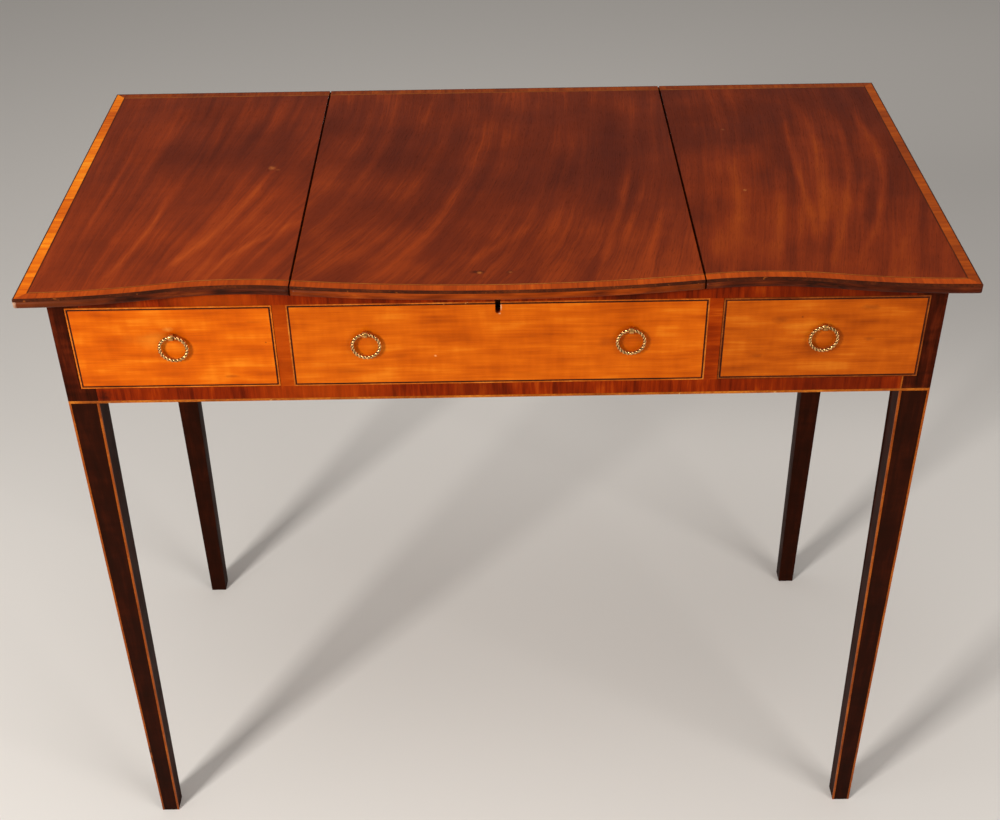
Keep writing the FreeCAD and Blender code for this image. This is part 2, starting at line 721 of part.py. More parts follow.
def make_drawer(side):
    """A drawer: a lipped and veneered front with its ring, two sides, a back and a bottom."""
    label = f"drawer_{side}"
    opening = ("opening_low + drawer_gap", "opening_high - drawer_gap")
    face_xs = on(side, ("drawer_in", "front_out - drawer_gap"))
    eye, bore = ring_pull(label, at(side, "(drawer_in + front_out) / 2"))
    node(f"ring_eye_{side}", eye)
    board_ys = ("ground_y", "drawer_start")
    board = block(f"{label}_board", on(side, ("drawer_in", "drawer_out")), board_ys, opening)
    lip_ys = ("ground_y", "front_y + lip_thickness")
    lip = block(f"{label}_lip", on(side, ("drawer_out", "front_out - drawer_gap")), lip_ys, opening)
    node(f"{label}_front", cut(f"{label}_front_bored", joined(f"{label}_front_blank", board, lip), bore))
    lines = faced(f"{label}_front", face_xs, opening, [bore])
    node(f"{label}_front_lines", group(f"{label}_line_pair", *lines))
    run = ("drawer_start", "drawer_end")
    height = ("drawer_low", "drawer_high")
    inside = ("drawer_in + drawer_side", "drawer_out - drawer_side")
    walls = (("drawer_in", inside[0]), (inside[1], "drawer_out"))
    sides = [block(f"{label}_side_{index}", on(side, xs), run, height) for index, xs in enumerate(walls)]
    node(f"{label}_sides", group(f"{label}_side_pair", *sides))
    back_ys = ("drawer_end - drawer_back", "drawer_end")
    node(f"{label}_back", block(f"{label}_rear", on(side, inside), back_ys, ("bottom_high", "drawer_high")))
    node(f"{label}_bottom", block(f"{label}_floor", on(side, inside), run, ("bottom_low", "bottom_high")))


def make_mirror():
    """A looking-glass in a frame of two stiles and two rails, fixed under the middle lid."""
    zs = ("mirror_low", "lid_under")
    stile = ("mirror_x - mirror_frame", "mirror_x")
    rail = ("-(mirror_x - mirror_frame)", "mirror_x - mirror_frame")
    depth = ("mirror_front", "mirror_back")
    ends = (
        ("mirror_front", "mirror_front + mirror_frame"),
        ("mirror_back - mirror_frame", "mirror_back"),
    )
    seat = "mirror_frame - glass_rebate"
    glass = block(
        "glass",
        (f"-(mirror_x - ({seat}))", f"mirror_x - ({seat})"),
        (f"mirror_front + {seat}", f"mirror_back - ({seat})"),
        ("glass_low", "lid_under"),
    )
    node("mirror_glass", glass)
    members = [block(f"mirror_stile_{side}", on(side, stile), depth, zs) for side in SIDES]
    members += [block(f"mirror_rail_{index}", rail, ys, zs) for index, ys in enumerate(ends)]
    rebated = [cut(f"{member.Name}_rebated", member, glass) for member in members]
    node("mirror_surround", group("mirror_members", *rebated))


def check():
    """Stops if any object failed or any sub-part has no sound shape."""
    failed = [item.Label for item in doc.Objects if {"Invalid", "Error"} & set(item.State)]
    unsound = [piece.Label for piece in nodes if piece.Shape.isNull() or not piece.Shape.isValid()]
    empty = [piece.Label for piece in nodes if not piece.Shape.Solids]
    if failed or unsound or empty:
        raise RuntimeError(f"failed {failed}, unsound {unsound}, empty {empty}")


def main():
    """Builds every sub-part, checks it and writes one file for each."""
    recess, keyhole = make_lock()
    rail_tenons, edge = make_front(recess, keyhole)
    screws = make_hinges()
    mortises = make_carcase(screws)
    leg_blocks = make_legs(rail_tenons + mortises, edge)
    make_trays(leg_blocks)
    make_runners()
    for side in SIDES:
        make_drawer(side)
    make_mirror()
    make_lids()
    doc.recompute()
    check()
    os.makedirs("parts", exist_ok=True)
    for piece in nodes:
        piece.Shape.exportStep(os.path.join("parts", f"{piece.Label}.step"))
        print(piece.Label, len(piece.Shape.Solids), round(piece.Shape.Volume, 1))
    print("nodes", len(nodes))


main()
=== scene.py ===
import json
import logging
import math
from collections.abc import Callable, Sequence
from dataclasses import dataclass, field
from enum import Enum
from functools import cached_property
from typing import Any

import bmesh
import bpy
from mathutils import Matrix, Vector


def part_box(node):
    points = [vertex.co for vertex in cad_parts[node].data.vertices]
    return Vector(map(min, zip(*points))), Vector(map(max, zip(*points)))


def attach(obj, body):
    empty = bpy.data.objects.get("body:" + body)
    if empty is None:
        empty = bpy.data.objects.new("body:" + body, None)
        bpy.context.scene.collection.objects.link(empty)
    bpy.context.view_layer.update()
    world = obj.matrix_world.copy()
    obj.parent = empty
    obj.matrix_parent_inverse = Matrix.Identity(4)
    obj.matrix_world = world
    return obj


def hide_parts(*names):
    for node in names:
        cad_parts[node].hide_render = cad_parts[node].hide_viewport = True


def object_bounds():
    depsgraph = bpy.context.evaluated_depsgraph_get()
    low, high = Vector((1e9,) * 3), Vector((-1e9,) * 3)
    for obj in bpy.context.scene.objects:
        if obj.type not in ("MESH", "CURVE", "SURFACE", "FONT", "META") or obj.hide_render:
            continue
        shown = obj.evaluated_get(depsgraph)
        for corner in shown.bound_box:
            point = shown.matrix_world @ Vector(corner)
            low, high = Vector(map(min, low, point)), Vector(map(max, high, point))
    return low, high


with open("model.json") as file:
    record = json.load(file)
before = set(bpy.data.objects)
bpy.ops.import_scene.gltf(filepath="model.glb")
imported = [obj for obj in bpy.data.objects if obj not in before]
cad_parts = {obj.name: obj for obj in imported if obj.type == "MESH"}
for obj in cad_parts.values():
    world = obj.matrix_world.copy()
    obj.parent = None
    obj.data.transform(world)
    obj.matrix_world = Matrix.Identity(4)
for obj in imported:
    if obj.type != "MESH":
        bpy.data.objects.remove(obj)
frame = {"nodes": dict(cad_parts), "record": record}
CAD_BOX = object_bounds()

# A dressing table in mahogany and satinwood. Metres: X runs left to right, Y front to back, Z up.
# Fields that a maker would measure with a rule are in millimetres, and say so.
MM = 0.001
LOG = logging.getLogger("dressing_table")
BODY_OF: dict[str, str] = {
    node: body for body, nodes in frame["record"]["behaviour"]["bodies"].items() for node in nodes
}
GRAIN_MAP = "grain"
CROWN = "crown"

Socket = bpy.types.NodeSocket
Material = bpy.types.Material
Materials = dict[str, Material]
Given = Socket | float | str | tuple[float, ...]
Stops = tuple[tuple[float, str], ...]
Pair = tuple[float, float]
Triple = tuple[float, float, float]

VARNISH: dict[str, Given] = {
    "Specular IOR Level": 0.1, "Specular Tint": (1.0, 0.72, 0.5, 1.0),
    "Coat Weight": 0.04, "Coat Roughness": 0.25,
}
# Most of a noise lies in NOISE_RANGE, and pores come in over PORE_RANGE.
NOISE_RANGE = (0.3, 0.7)
PORE_RANGE = (0.58, 0.72)


class Grain(Enum):
    """The axis that a board's grain runs along."""

    ACROSS = 0
    DEEP = 1
    UPRIGHT = 2


class Side(Enum):
    """A side of the table, by the sign of X there."""

    LEFT = -1
    RIGHT = 1

    @property
    def word(self) -> str:
        """The side's name, in small letters."""
        return self.name.lower()


class Run(Enum):
    """A run of a lid's outer edge."""

    FRONT = "front"
    END = "end"
    BACK = "back"


class LidFace(Enum):
    """A face of a lid's board, by the number of its finish."""

    TOP = 0
    EDGE = 1
    SEAM = 2
    UNDER = 3
    END = 4


class Kind(Enum):
    """The kind of a socket on a geometry tree."""

    GEOMETRY = "NodeSocketGeometry"
    FLOAT = "NodeSocketFloat"
    INT = "NodeSocketInt"
    VECTOR = "NodeSocketVector"
    MATERIAL = "NodeSocketMaterial"


def tint(code: str) -> tuple[float, float, float, float]:
    """A screen colour such as "#aa5522" as linear light.

    Args:
        code: the colour, two hexadecimal digits for each of red, green and blue.

    Returns:
        Red, green, blue and a full alpha.
    """
    parts = [int(code[start:start + 2], 16) / 255 for start in (1, 3, 5)]
    red, green, blue = (
        part / 12.92 if part <= 0.04045 else ((part + 0.055) / 1.055) ** 2.4 for part in parts
    )
    return red, green, blue, 1.0


@dataclass(frozen=True)
class Mark:
    """A small filled or rubbed spot, or a patch of painted light or shade; places and sizes in millimetres.

    along is its place along Y on a top, or along Z on a front. ragged is how far its edge strays, grit
    is the size of that as a share of its width, and fade is where the edge starts and ends.
    """

    x: float
    along: float
    width: float
    height: float
    colour: str
    strength: float
    front: bool = False
    ragged: float = 0.9
    grit: float = 0.4
    fade: Pair = (1.15, 0.55)

    def laid(self, across: float, along: float) -> Triple:
        """Two numbers as a vector in the plane of the mark's face."""
        return (across, 0.0, along) if self.front else (across, along, 0.0)


def front_marks(*rows: tuple[float, float, float, float, str, float]) -> tuple[Mark, ...]:
    """Marks on the front.

    Args:
        rows: each mark's place along X and Z, width, height, colour and strength.

    Returns:
        The marks.
    """
    return tuple(Mark(*row, front=True) for row in rows)


class Maker:
    """Adds to a node tree, one step at a time."""

    def __init__(self, tree: bpy.types.NodeTree) -> None:
        """Starts on a tree."""
        self.tree = tree

    def give(self, socket: Socket, given: Given) -> None:
        """Joins a socket to another one, or sets its constant.

        Args:
            socket: the input that receives.
            given: an output socket, or a constant.
        """
        if isinstance(given, bpy.types.NodeSocket):
            self.tree.links.new(given, socket)
        else:
            socket.default_value = given

    def add(
        self, kind: str, inputs: dict[int | str, Given], out: int | str = 0, **settings: object,
    ) -> Socket:
        """Adds a node.

        Args:
            kind: the node's type.
            inputs: what each named or numbered input receives.
            out: the output to hand on.
            settings: the node's own options.

        Returns:
            The chosen output.
        """
        node = self.tree.nodes.new(kind)
        for key, setting in settings.items():
            setattr(node, key, setting)
        for key, given in inputs.items():
            self.give(node.inputs[key], given)
        return node.outputs[out]

    def sum(self, operation: str, first: Given, second: Given = 0.0, third: Given = 0.0) -> Socket:
        """A sum on up to three values, by the name of its operation."""
        return self.add("ShaderNodeMath", {0: first, 1: second, 2: third}, operation=operation)

    def vector(self, operation: str, first: Given, second: Given) -> Socket:
        """A sum on two vectors, by the name of its operation."""
        return self.add("ShaderNodeVectorMath", {0: first, 1: second}, operation=operation)


class Sketch(Maker):
    """A material's nodes."""

    def __init__(self, name: str) -> None:
        """Starts a material with its shader and output.

        Args:
            name: the finish's name.
        """
        self.material = bpy.data.materials.new(name)
        self.material.use_nodes = True
        super().__init__(self.material.node_tree)
        self.shader = self.tree.nodes["Principled BSDF"]

    def places(self) -> Socket:
        """The piece's own coordinates, in metres."""
        return self.add("ShaderNodeTexCoord", {}, "Object")

    def noise(
        self, at: Socket, sizes: float | Sequence[float], shift: float = 0.0, *, detail: float = 2.0,
        rough: float = 0.5, distortion: float = 0.0,
    ) -> Socket:
        """Even noise in blobs.

        Args:
            at: coordinates in metres.
            sizes: a blob's size in millimetres, along every axis or along each of three.
            shift: moves the pattern to another part of the log.
            detail: how many finer layers it has.
            rough: how strong they are.
            distortion: how far it is stirred.

        Returns:
            A value near one half.
        """
        spans = sizes if isinstance(sizes, Sequence) else (sizes,) * 3
        scale = tuple(1 / (span * MM) for span in spans)
        placed = self.add("ShaderNodeMapping", {"Vector": at, "Scale": scale, "Location": (shift,) * 3})
        return self.add("ShaderNodeTexNoise", {
            "Vector": placed, "Scale": 1.0, "Detail": detail, "Roughness": rough, "Distortion": distortion,
        })

    def swing(self, given: Socket, reach: float) -> Socket:
        """A value near one half, as one that swings about zero."""
        return self.sum("MULTIPLY", self.sum("SUBTRACT", given, 0.5), reach)

    def weighted(self, *parts: tuple[Socket, float]) -> Socket:
        """Adds up values.

        Args:
            parts: each value and its weight.

        Returns:
            The total.
        """
        total, *rest = [self.sum("MULTIPLY", given, weight) for given, weight in parts]
        for share in rest:
            total = self.sum("ADD", total, share)
        return total

    def fit(
        self, given: Socket, low: float, high: float, to_low: float = 0.0, to_high: float = 1.0,
    ) -> Socket:
        """Stretches a range of values over another, and holds them there.

        Args:
            given: the value.
            low: the start of its range.
            high: the end of its range.
            to_low: what the start becomes.
            to_high: what the end becomes.

        Returns:
            The new value.
        """
        inputs = {"Value": given, "From Min": low, "From Max": high, "To Min": to_low, "To Max": to_high}
        return self.add("ShaderNodeMapRange", inputs)

    def ticks(self, at: Socket, sizes: Sequence[float], shift: float) -> Socket:
        """Pores: 1 in each short tick, 0 between them.

        Args:
            at: coordinates in metres.
            sizes: a tick's three sizes, in millimetres.
            shift: moves the pattern to another part of the log.

        Returns:
            The value.
        """
        return self.fit(self.noise(at, sizes, shift, detail=1.0), *PORE_RANGE)

    def ramp(self, given: Socket, stops: Stops) -> Socket:
        """Colours a value by stops along it.

        Args:
            given: the value.
            stops: places from 0 to 1, in order, each with its colour.

        Returns:
            The colour.
        """
        node = self.tree.nodes.new("ShaderNodeValToRGB")
        while len(node.color_ramp.elements) < len(stops):
            node.color_ramp.elements.new(1.0)
        for element, (place, code) in zip(node.color_ramp.elements, stops):
            element.position = place
            element.color = tint(code)
        self.give(node.inputs[0], given)
        return node.outputs[0]

    def mix(self, share: Given, below: Given, above: Given) -> Socket:
        """Mixes two colours.

        Args:
            share: how much of the upper one shows.
            below: the lower colour.
            above: the upper colour.

        Returns:
            The mixed colour.
        """
        return self.add("ShaderNodeMix", {0: share, 6: below, 7: above}, 2, data_type="RGBA")

    def spotted(self, colour: Socket, at: Socket, marks: Sequence[Mark]) -> Socket:
        """Lays small ragged marks over a colour.

        Args:
            colour: the colour below.
            at: the piece's own coordinates.
            marks: the marks.

        Returns:
            The colour with its marks.
        """
        for mark in marks:
            apart = self.vector("SUBTRACT", at, mark.laid(mark.x * MM, mark.along * MM))
            spread = mark.laid(1 / (mark.width * MM), 1 / (mark.height * MM))
            far = self.vector("MULTIPLY", apart, spread)
            far = self.add("ShaderNodeVectorMath", {0: far}, "Value", operation="LENGTH")
            ragged = self.noise(at, mark.width * mark.grit, mark.x, detail=3.0, rough=0.6)
            edge = self.sum("ADD", far, self.sum("MULTIPLY", ragged, mark.ragged))
            share = self.sum("MULTIPLY", self.fit(edge, *mark.fade), mark.strength)
            colour = self.mix(share, colour, tint(mark.colour))
        return colour

    def relief(self, height: Socket, depth: float) -> Socket:
        """The surface's own fine relief.

        Args:
            height: a value from 0, low, to 1, high.
            depth: the height of 1, in millimetres.

        Returns:
            The normal.
        """
        return self.add("ShaderNodeBump", {"Height": height, "Distance": depth * MM, "Strength": 1.0})

    def sunk(self, hollow: Socket, depth: float) -> Socket:
        """The relief of hollows, where a value of 1 is deepest."""
        return self.relief(self.sum("SUBTRACT", 1.0, hollow), depth)

    def done(self, inputs: dict[str, Given]) -> Material:
        """Gives the shader its inputs.

        Args:
            inputs: a socket or a constant for each named input.

        Returns:
            The finished material.
        """
        for name, given in inputs.items():
            self.give(self.shader.inputs[name], given)
        return self.material


@dataclass(frozen=True)
class Streak:
    """One light streak of a lid's figure; it runs from the back, share 0, to the front, share 1.

    Its middle is at + turn * share + bend * share ** 2 along X, in millimetres, and so is its width.
    """

    at: float
    turn: float
    bend: float
    width: float
    start: float
    end: float
    strength: float


@dataclass(frozen=True)
class FiguredMahogany:
    """French-polished figured mahogany for one lid; its fibres lean more and more towards the front.

    lean is how far a fibre moves sideways for each step back, at the front edge; fan adds to it for
    each metre to the right of the lid's middle. A pattern's sizes are in millimetres, across the fibres,
    along them and up, and its weight is its share in the tone. The tones are added at the middle, the
    back and the front of the lid. A streak comes in over fade_in and goes out over fade_out.
    """

    name: str
    middle: float
    lean: float
    fan: float
    log: float
    stops: Stops
    streaks: tuple[Streak, ...]
    marks: tuple[Mark, ...] = ()
    wander: float = 16.0
    broken: float = 0.55
    middle_share: float = 0.4
    middle_tone: float = 0.035
    back_tone: float = -0.055
    front_tone: float = 0.055
    fade_in: float = 0.09
    fade_out: float = 0.07
    stir_size: Triple = (45.0, 150.0, 150.0)
    grain_size: Triple = (16.0, 260.0, 260.0)
    cloud_size: Triple = (110.0, 120.0, 120.0)
    fibre_size: Triple = (1.6, 120.0, 120.0)
    patch_size: Triple = (9.0, 60.0, 60.0)
    patch_range: Pair = (0.3, 0.65)
    patch_most: float = 1.1
    pore_size: Triple = (0.6, 11.0, 11.0)
    rub_size: float = 70.0
    rub_range: Pair = (0.35, 0.7)
    grain_weight: float = 0.36
    cloud_weight: float = 0.44
    fibre_weight: float = 0.2
    glow_weight: float = 0.16
    pores: float = 0.3
    pore_colour: str = "#2c0f08"
    pore_depth: float = 0.02
    pore_rough: float = 0.15
    polish: Pair = (0.34, 0.46)

    def swept(self, sketch: Sketch, across: Socket, front: Socket, up: Socket) -> Socket:
        """Coordinates that follow the fibres.

        Args:
            sketch: the material.
            across: the place along X.
            front: the share of the way from back to front.
            up: the place along Z.

        Returns:
            The place across the fibres, along them and up.
        """
        reach = sketch.sum("MULTIPLY", sketch.sum("MULTIPLY", front, front), CAD_BOX[1].y)
        turn = sketch.sum("MULTIPLY", sketch.sum("SUBTRACT", across, self.middle), self.fan)
        moved = sketch.sum("MULTIPLY", sketch.sum("ADD", turn, self.lean), reach)
        along = sketch.sum("MULTIPLY", front, CAD_BOX[0].y - CAD_BOX[1].y)
        return sketch.add("ShaderNodeCombineXYZ", {0: sketch.sum("ADD", across, moved), 1: along, 2: up})

    def light(self, sketch: Sketch, across: Socket, front: Socket) -> Given:
        """How strongly the light streaks show.

        Args:
            sketch: the material.
            across: the place along X, with the wander of the fibres in it.
            front: the share of the way from back to front.

        Returns:
            The sum of the streaks.
        """
        total: Given = 0.0
        for streak in self.streaks:
            bent = sketch.sum("MULTIPLY_ADD", front, streak.bend * MM, streak.turn * MM)
            middle = sketch.sum("MULTIPLY_ADD", bent, front, streak.at * MM)
            apart = sketch.sum("ABSOLUTE", sketch.sum("SUBTRACT", across, middle))
            core = sketch.fit(apart, streak.width * MM, 0.0)
            begun = sketch.fit(front, streak.start - self.fade_in, streak.start + self.fade_in)
            ended = sketch.fit(front, streak.end + self.fade_out, streak.end - self.fade_out)
            shown = sketch.sum("MULTIPLY", sketch.sum("MULTIPLY", begun, ended), streak.strength)
            total = sketch.sum("MULTIPLY_ADD", core, shown, total)
        return total

    def build(self) -> Material:
        """Streaks, clouds, fine fibres, pores, an uneven polish and the lid's own marks."""
        sketch = Sketch(self.name)
        at = sketch.places()
        x, y, up = (sketch.add("ShaderNodeSeparateXYZ", {0: at}, axis) for axis in range(3))
        front = sketch.fit(y, CAD_BOX[1].y, CAD_BOX[0].y)
        stir = sketch.noise(at, self.stir_size, self.log, detail=3.0, rough=0.55)
        across = sketch.sum("ADD", x, sketch.swing(stir, self.wander * MM))
        swept = self.swept(sketch, across, front, up)
        grain = sketch.noise(swept, self.grain_size, self.log)
        cloud = sketch.noise(at, self.cloud_size, self.log * 2, detail=3.0, rough=0.55)
        fine = sketch.noise(swept, self.fibre_size, self.log, rough=0.6)
        patch = sketch.noise(swept, self.patch_size, self.log + 5)
        patch = sketch.fit(patch, *self.patch_range, self.broken, self.patch_most)
        glow = sketch.sum("MULTIPLY", self.light(sketch, across, front), patch)
        tone = sketch.weighted(
            (grain, self.grain_weight), (cloud, self.cloud_weight), (fine, self.fibre_weight),
            (glow, self.glow_weight),
        )
        back = self.middle_tone + self.back_tone
        tone = sketch.sum("ADD", tone, sketch.fit(front, self.middle_share, 0.0, self.middle_tone, back))
        tone = sketch.sum("ADD", tone, sketch.fit(front, self.middle_share, 1.0, 0.0, self.front_tone))
        ticks = sketch.ticks(swept, self.pore_size, self.log)
        dark = sketch.sum("MULTIPLY", ticks, self.pores)
        colour = sketch.mix(dark, sketch.ramp(tone, self.stops), tint(self.pore_colour))
        colour = sketch.spotted(colour, at, self.marks)
        rub = sketch.noise(at, self.rub_size, self.log, detail=4.0, rough=0.6)
        rub = sketch.fit(rub, *self.rub_range, *self.polish)
        roughness = sketch.sum("ADD", rub, sketch.sum("MULTIPLY", ticks, self.pore_rough))
        normal = sketch.sunk(ticks, self.pore_depth)
        return sketch.done({"Base Color": colour, "Roughness": roughness, "Normal": normal, **VARNISH})


@dataclass(frozen=True)
class Wood:
    """A plain polished wood; widths and lengths of its streaks in millimetres.

    dyed, where it is given, is a stain that covers the wood below a height in metres. A pattern's two
    sizes are across the grain and along it, in millimetres; a cloud's are shares of a streak's.
    """

    name: str
    grain: Grain
    stops: Stops
    streak: Pair = (9.0, 190.0)
    pores: float = 0.35
    polish: float = 0.36
    ripple: float = 0.0
    log: float = 0.0
    coat: float = 0.04
    specular: float = 0.1
    cloudy: float = 0.4
    fibre: float = 0.14
    dyed: tuple[float, str] | None = None
    marks: tuple[Mark, ...] = ()
    stir_size: float = 120.0
    stir_reach: float = 6.0
    cloud_share: Pair = (5.0, 0.8)
    fibre_size: Pair = (1.1, 46.0)
    pore_size: Pair = (0.7, 14.0)
    ripple_size: Pair = (26.0, 7.0)
    rub_size: float = 55.0
    dull: Pair = (-0.06, 0.08)
    pore_depth: float = 0.02
    dye_edge: float = 1.0
    dye_share: float = 0.8

    def sizes(self, width: float, length: float) -> tuple[float, ...]:
        """Sizes along X, Y and Z of something long with the grain."""
        return tuple(length if axis == self.grain.value else width for axis in range(3))

    def tone(self, sketch: Sketch, bent: Socket) -> Socket:
        """The wood's own light and dark.

        Args:
            sketch: the material.
            bent: coordinates that follow the fibres.

        Returns:
            A value near one half.
        """
        width, length = self.streak
        wide, long = self.cloud_share
        sizes = self.sizes(width, length)
        streak = sketch.noise(bent, sizes, self.log, detail=3.0, rough=0.6, distortion=0.3)
        cloud = sketch.noise(bent, self.sizes(width * wide, length * long), self.log, detail=1.0)
        tone = sketch.weighted((streak, 1 - self.cloudy), (cloud, self.cloudy))
        fine = sketch.noise(bent, self.sizes(*self.fibre_size), self.log, rough=0.6)
        tone = sketch.sum("ADD", tone, sketch.swing(fine, self.fibre))
        if self.ripple:
            chatter = sketch.noise(bent, self.sizes(*self.ripple_size), self.log, detail=1.0)
            tone = sketch.sum("ADD", tone, sketch.swing(chatter, self.ripple))
        return tone

    def build(self) -> Material:
        """Streaks along the grain, pores, a cross ripple and an uneven polish."""
        sketch = Sketch(self.name)
        at = sketch.places()
        stir = sketch.noise(at, self.stir_size, self.log, detail=1.0)
        bent = sketch.vector("ADD", at, sketch.vector("MULTIPLY", stir, (self.stir_reach * MM,) * 3))
        colour = sketch.ramp(self.tone(sketch, bent), self.stops)
        ticks = sketch.ticks(bent, self.sizes(*self.pore_size), self.log)
        colour = sketch.mix(sketch.sum("MULTIPLY", ticks, self.pores), colour, tint(self.stops[0][1]))
        if self.dyed:
            height, code = self.dyed
            edge = self.dye_edge * MM
            up = sketch.add("ShaderNodeSeparateXYZ", {0: at}, 2)
            stained = sketch.fit(up, height + edge, height - edge, 0.0, self.dye_share)
            colour = sketch.mix(stained, colour, tint(code))
        colour = sketch.spotted(colour, at, self.marks)
        rub = sketch.noise(at, self.rub_size, self.log, detail=4.0, rough=0.6)
        bright, dull = (self.polish + change for change in self.dull)
        return sketch.done({
            "Base Color": colour,
            "Roughness": sketch.fit(rub, *NOISE_RANGE, bright, dull),
            "Normal": sketch.sunk(ticks, self.pore_depth),
            **VARNISH,
            "Specular IOR Level": self.specular,
            "Coat Weight": self.coat,
        })


@dataclass(frozen=True)
class Banding:
    """Veneer laid with its grain across a band, in short leaves; sizes in millimetres.

    broad is the width of a broad stripe in widths of a fine one, and start is the place of the first
    joint as a share of a leaf.
    """

    name: str
    stops: Stops
    stripe: float = 5.0
    leaf: float = 86.0
    swing: float = 0.16
    log: float = 0.0
    start: float = 0.37
    stripe_length: float = 60.0
    broad: float = 6.0
    broad_length: float = 90.0
    broad_weight: float = 0.38
    joint: float = 0.5
    joint_share: float = 0.7
    joint_colour: str = "#351408"
    joint_depth: float = 0.04
    pores: float = 0.3
    pore_size: Triple = (0.6, 9.0, 9.0)
    polish: Pair = (0.34, 0.44)

    def build(self) -> Material:
        """Stripes across the band, a change of tone from leaf to leaf and a dark joint between leaves."""
        sketch = Sketch(self.name)
        at = sketch.add("ShaderNodeUVMap", {}, uv_map=GRAIN_MAP)
        length, broad_length = self.stripe_length, self.broad_length
        thin = (self.stripe, length, length)
        stripe = sketch.noise(at, thin, self.log, detail=3.0, rough=0.6, distortion=0.5)
        thick = (self.stripe * self.broad, broad_length, broad_length)
        broad = sketch.noise(at, thick, self.log, detail=1.0)
        along = sketch.add("ShaderNodeSeparateXYZ", {0: at}, 0)
        count = sketch.sum("ADD", sketch.sum("DIVIDE", along, self.leaf * MM), self.start + self.log)
        leaf = sketch.sum("FLOOR", count)
        chance = sketch.add("ShaderNodeTexWhiteNoise", {"W": leaf}, noise_dimensions="1D")
        tone = sketch.weighted((stripe, 1 - self.broad_weight), (broad, self.broad_weight))
        colour = sketch.ramp(sketch.sum("ADD", tone, sketch.swing(chance, self.swing)), self.stops)
        place = sketch.sum("FRACT", count)
        joint = sketch.fit(place, 0.0, self.joint / self.leaf, self.joint_share, 0.0)
        colour = sketch.mix(joint, colour, tint(self.joint_colour))
        ticks = sketch.ticks(at, self.pore_size, self.log)
        colour = sketch.mix(sketch.sum("MULTIPLY", ticks, self.pores), colour, tint(self.stops[0][1]))
        return sketch.done({
            "Base Color": colour,
            "Roughness": sketch.fit(broad, *NOISE_RANGE, *self.polish),
            "Normal": sketch.sunk(joint, self.joint_depth),
            **VARNISH,
        })


@dataclass(frozen=True)
class Line:
    """A thin inlaid line, with rubbed and chipped stretches, or the seams' painted shade; sizes in
    millimetres.
    """

    name: str
    stops: Stops
    chips: float = 0.0
    chip_colour: str = "#c89a5c"
    shines: bool = True
    marks: tuple[Mark, ...] = ()
    slow_size: float = 38.0
    fine_size: float = 2.5
    fine_weight: float = 0.35
    chip_size: float = 7.0
    chip_range: Pair = (0.70, 0.74)
    depth: float = 0.03
    polish: Pair = (0.36, 0.5)

    def build(self) -> Material:
        """Slow changes of tone along the line, with chips where it has lost its polish."""
        sketch = Sketch(self.name)
        at = sketch.places()
        slow = sketch.noise(at, self.slow_size, detail=3.0, rough=0.6)
        fine = sketch.noise(at, self.fine_size)
        tone = sketch.weighted((slow, 1 - self.fine_weight), (fine, self.fine_weight))
        colour = sketch.ramp(tone, self.stops)
        if self.chips:
            worn = sketch.noise(at, self.chip_size, detail=4.0, rough=0.7)
            chipped = sketch.fit(worn, *(bound - self.chips for bound in self.chip_range))
            colour = sketch.mix(chipped, colour, tint(self.chip_colour))
        return sketch.done({
            "Base Color": sketch.spotted(colour, at, self.marks),
            "Roughness": sketch.fit(fine, *NOISE_RANGE, *self.polish),
            "Normal": sketch.relief(fine, self.depth),
            **(VARNISH if self.shines else {"Specular IOR Level": 0.0}),
        })


@dataclass(frozen=True)
class Brass:
    """Old brass, rubbed bright, tarnished brown, with painted shade in twisted grooves; sizes in
    millimetres.
    """

    name: str
    bright: str
    brown: str
    polish: float
    twisted: bool = False
    patch_size: float = 9.0
    patch_range: Pair = (0.42, 0.72)
    speck_size: float = 0.9
    speck_range: Pair = (0.4, 0.7)
    speck_depth: float = 0.02
    speck_rough: float = 0.08
    most_dull: float = 0.75
    twist_share: float = 0.6
    groove_range: Pair = (0.8, 0.3)
    groove_dull: float = 0.97
    dull_rough: float = 0.3

    def build(self) -> Material:
        """Tarnish in patches and, on a twisted wire, tarnish with painted shade in its grooves."""
        sketch = Sketch(self.name)
        at = sketch.places()
        patch = sketch.noise(at, self.patch_size, detail=4.0, rough=0.6)
        speck = sketch.noise(at, self.speck_size)
        dull = sketch.fit(patch, *self.patch_range, 0.0, self.most_dull)
        if self.twisted:
            # The grooves of a twist are painted dark brown: partly tarnish, partly painted shade.
            crown = sketch.add("ShaderNodeAttribute", {}, "Fac", attribute_name=CROWN)
            groove = sketch.fit(crown, *self.groove_range, 0.0, self.groove_dull)
            dull = sketch.sum("MAXIMUM", sketch.sum("MULTIPLY", dull, self.twist_share), groove)
        worn = sketch.fit(dull, 0.0, 1.0, self.polish, self.polish + self.dull_rough)
        rough = sketch.fit(speck, *self.speck_range, 0.0, self.speck_rough)
        return sketch.done({
            "Base Color": sketch.mix(dull, tint(self.bright), tint(self.brown)),
            "Roughness": sketch.sum("ADD", worn, rough),
            "Normal": sketch.relief(speck, self.speck_depth),
            "Metallic": 1.0,
        })


@dataclass(frozen=True)
class Silvering:
    """A looking-glass, foxed in spots and clouds; sizes in millimetres."""

    name: str
    silver: str = "#d9dcda"
    fox: str = "#4a3f33"
    cloud_size: float = 60.0
    cloud_range: Pair = (0.52, 0.7)
    spot_size: float = 3.5
    spot_range: Pair = (0.5, 0.62)
    polish: Pair = (0.03, 0.35)

    def build(self) -> Material:
        """Bright silver with dark foxing."""
        sketch = Sketch(self.name)
        at = sketch.places()
        cloud = sketch.noise(at, self.cloud_size, detail=5.0, rough=0.65)
        cloud = sketch.fit(cloud, *self.cloud_range)
        spot = sketch.fit(sketch.noise(at, self.spot_size), *self.spot_range)
        fox = sketch.sum("MULTIPLY", cloud, spot)
        return sketch.done({
            "Base Color": sketch.mix(fox, tint(self.silver), tint(self.fox)),
            "Roughness": sketch.fit(fox, 0.0, 1.0, *self.polish),
            "Metallic": 1.0,
        })


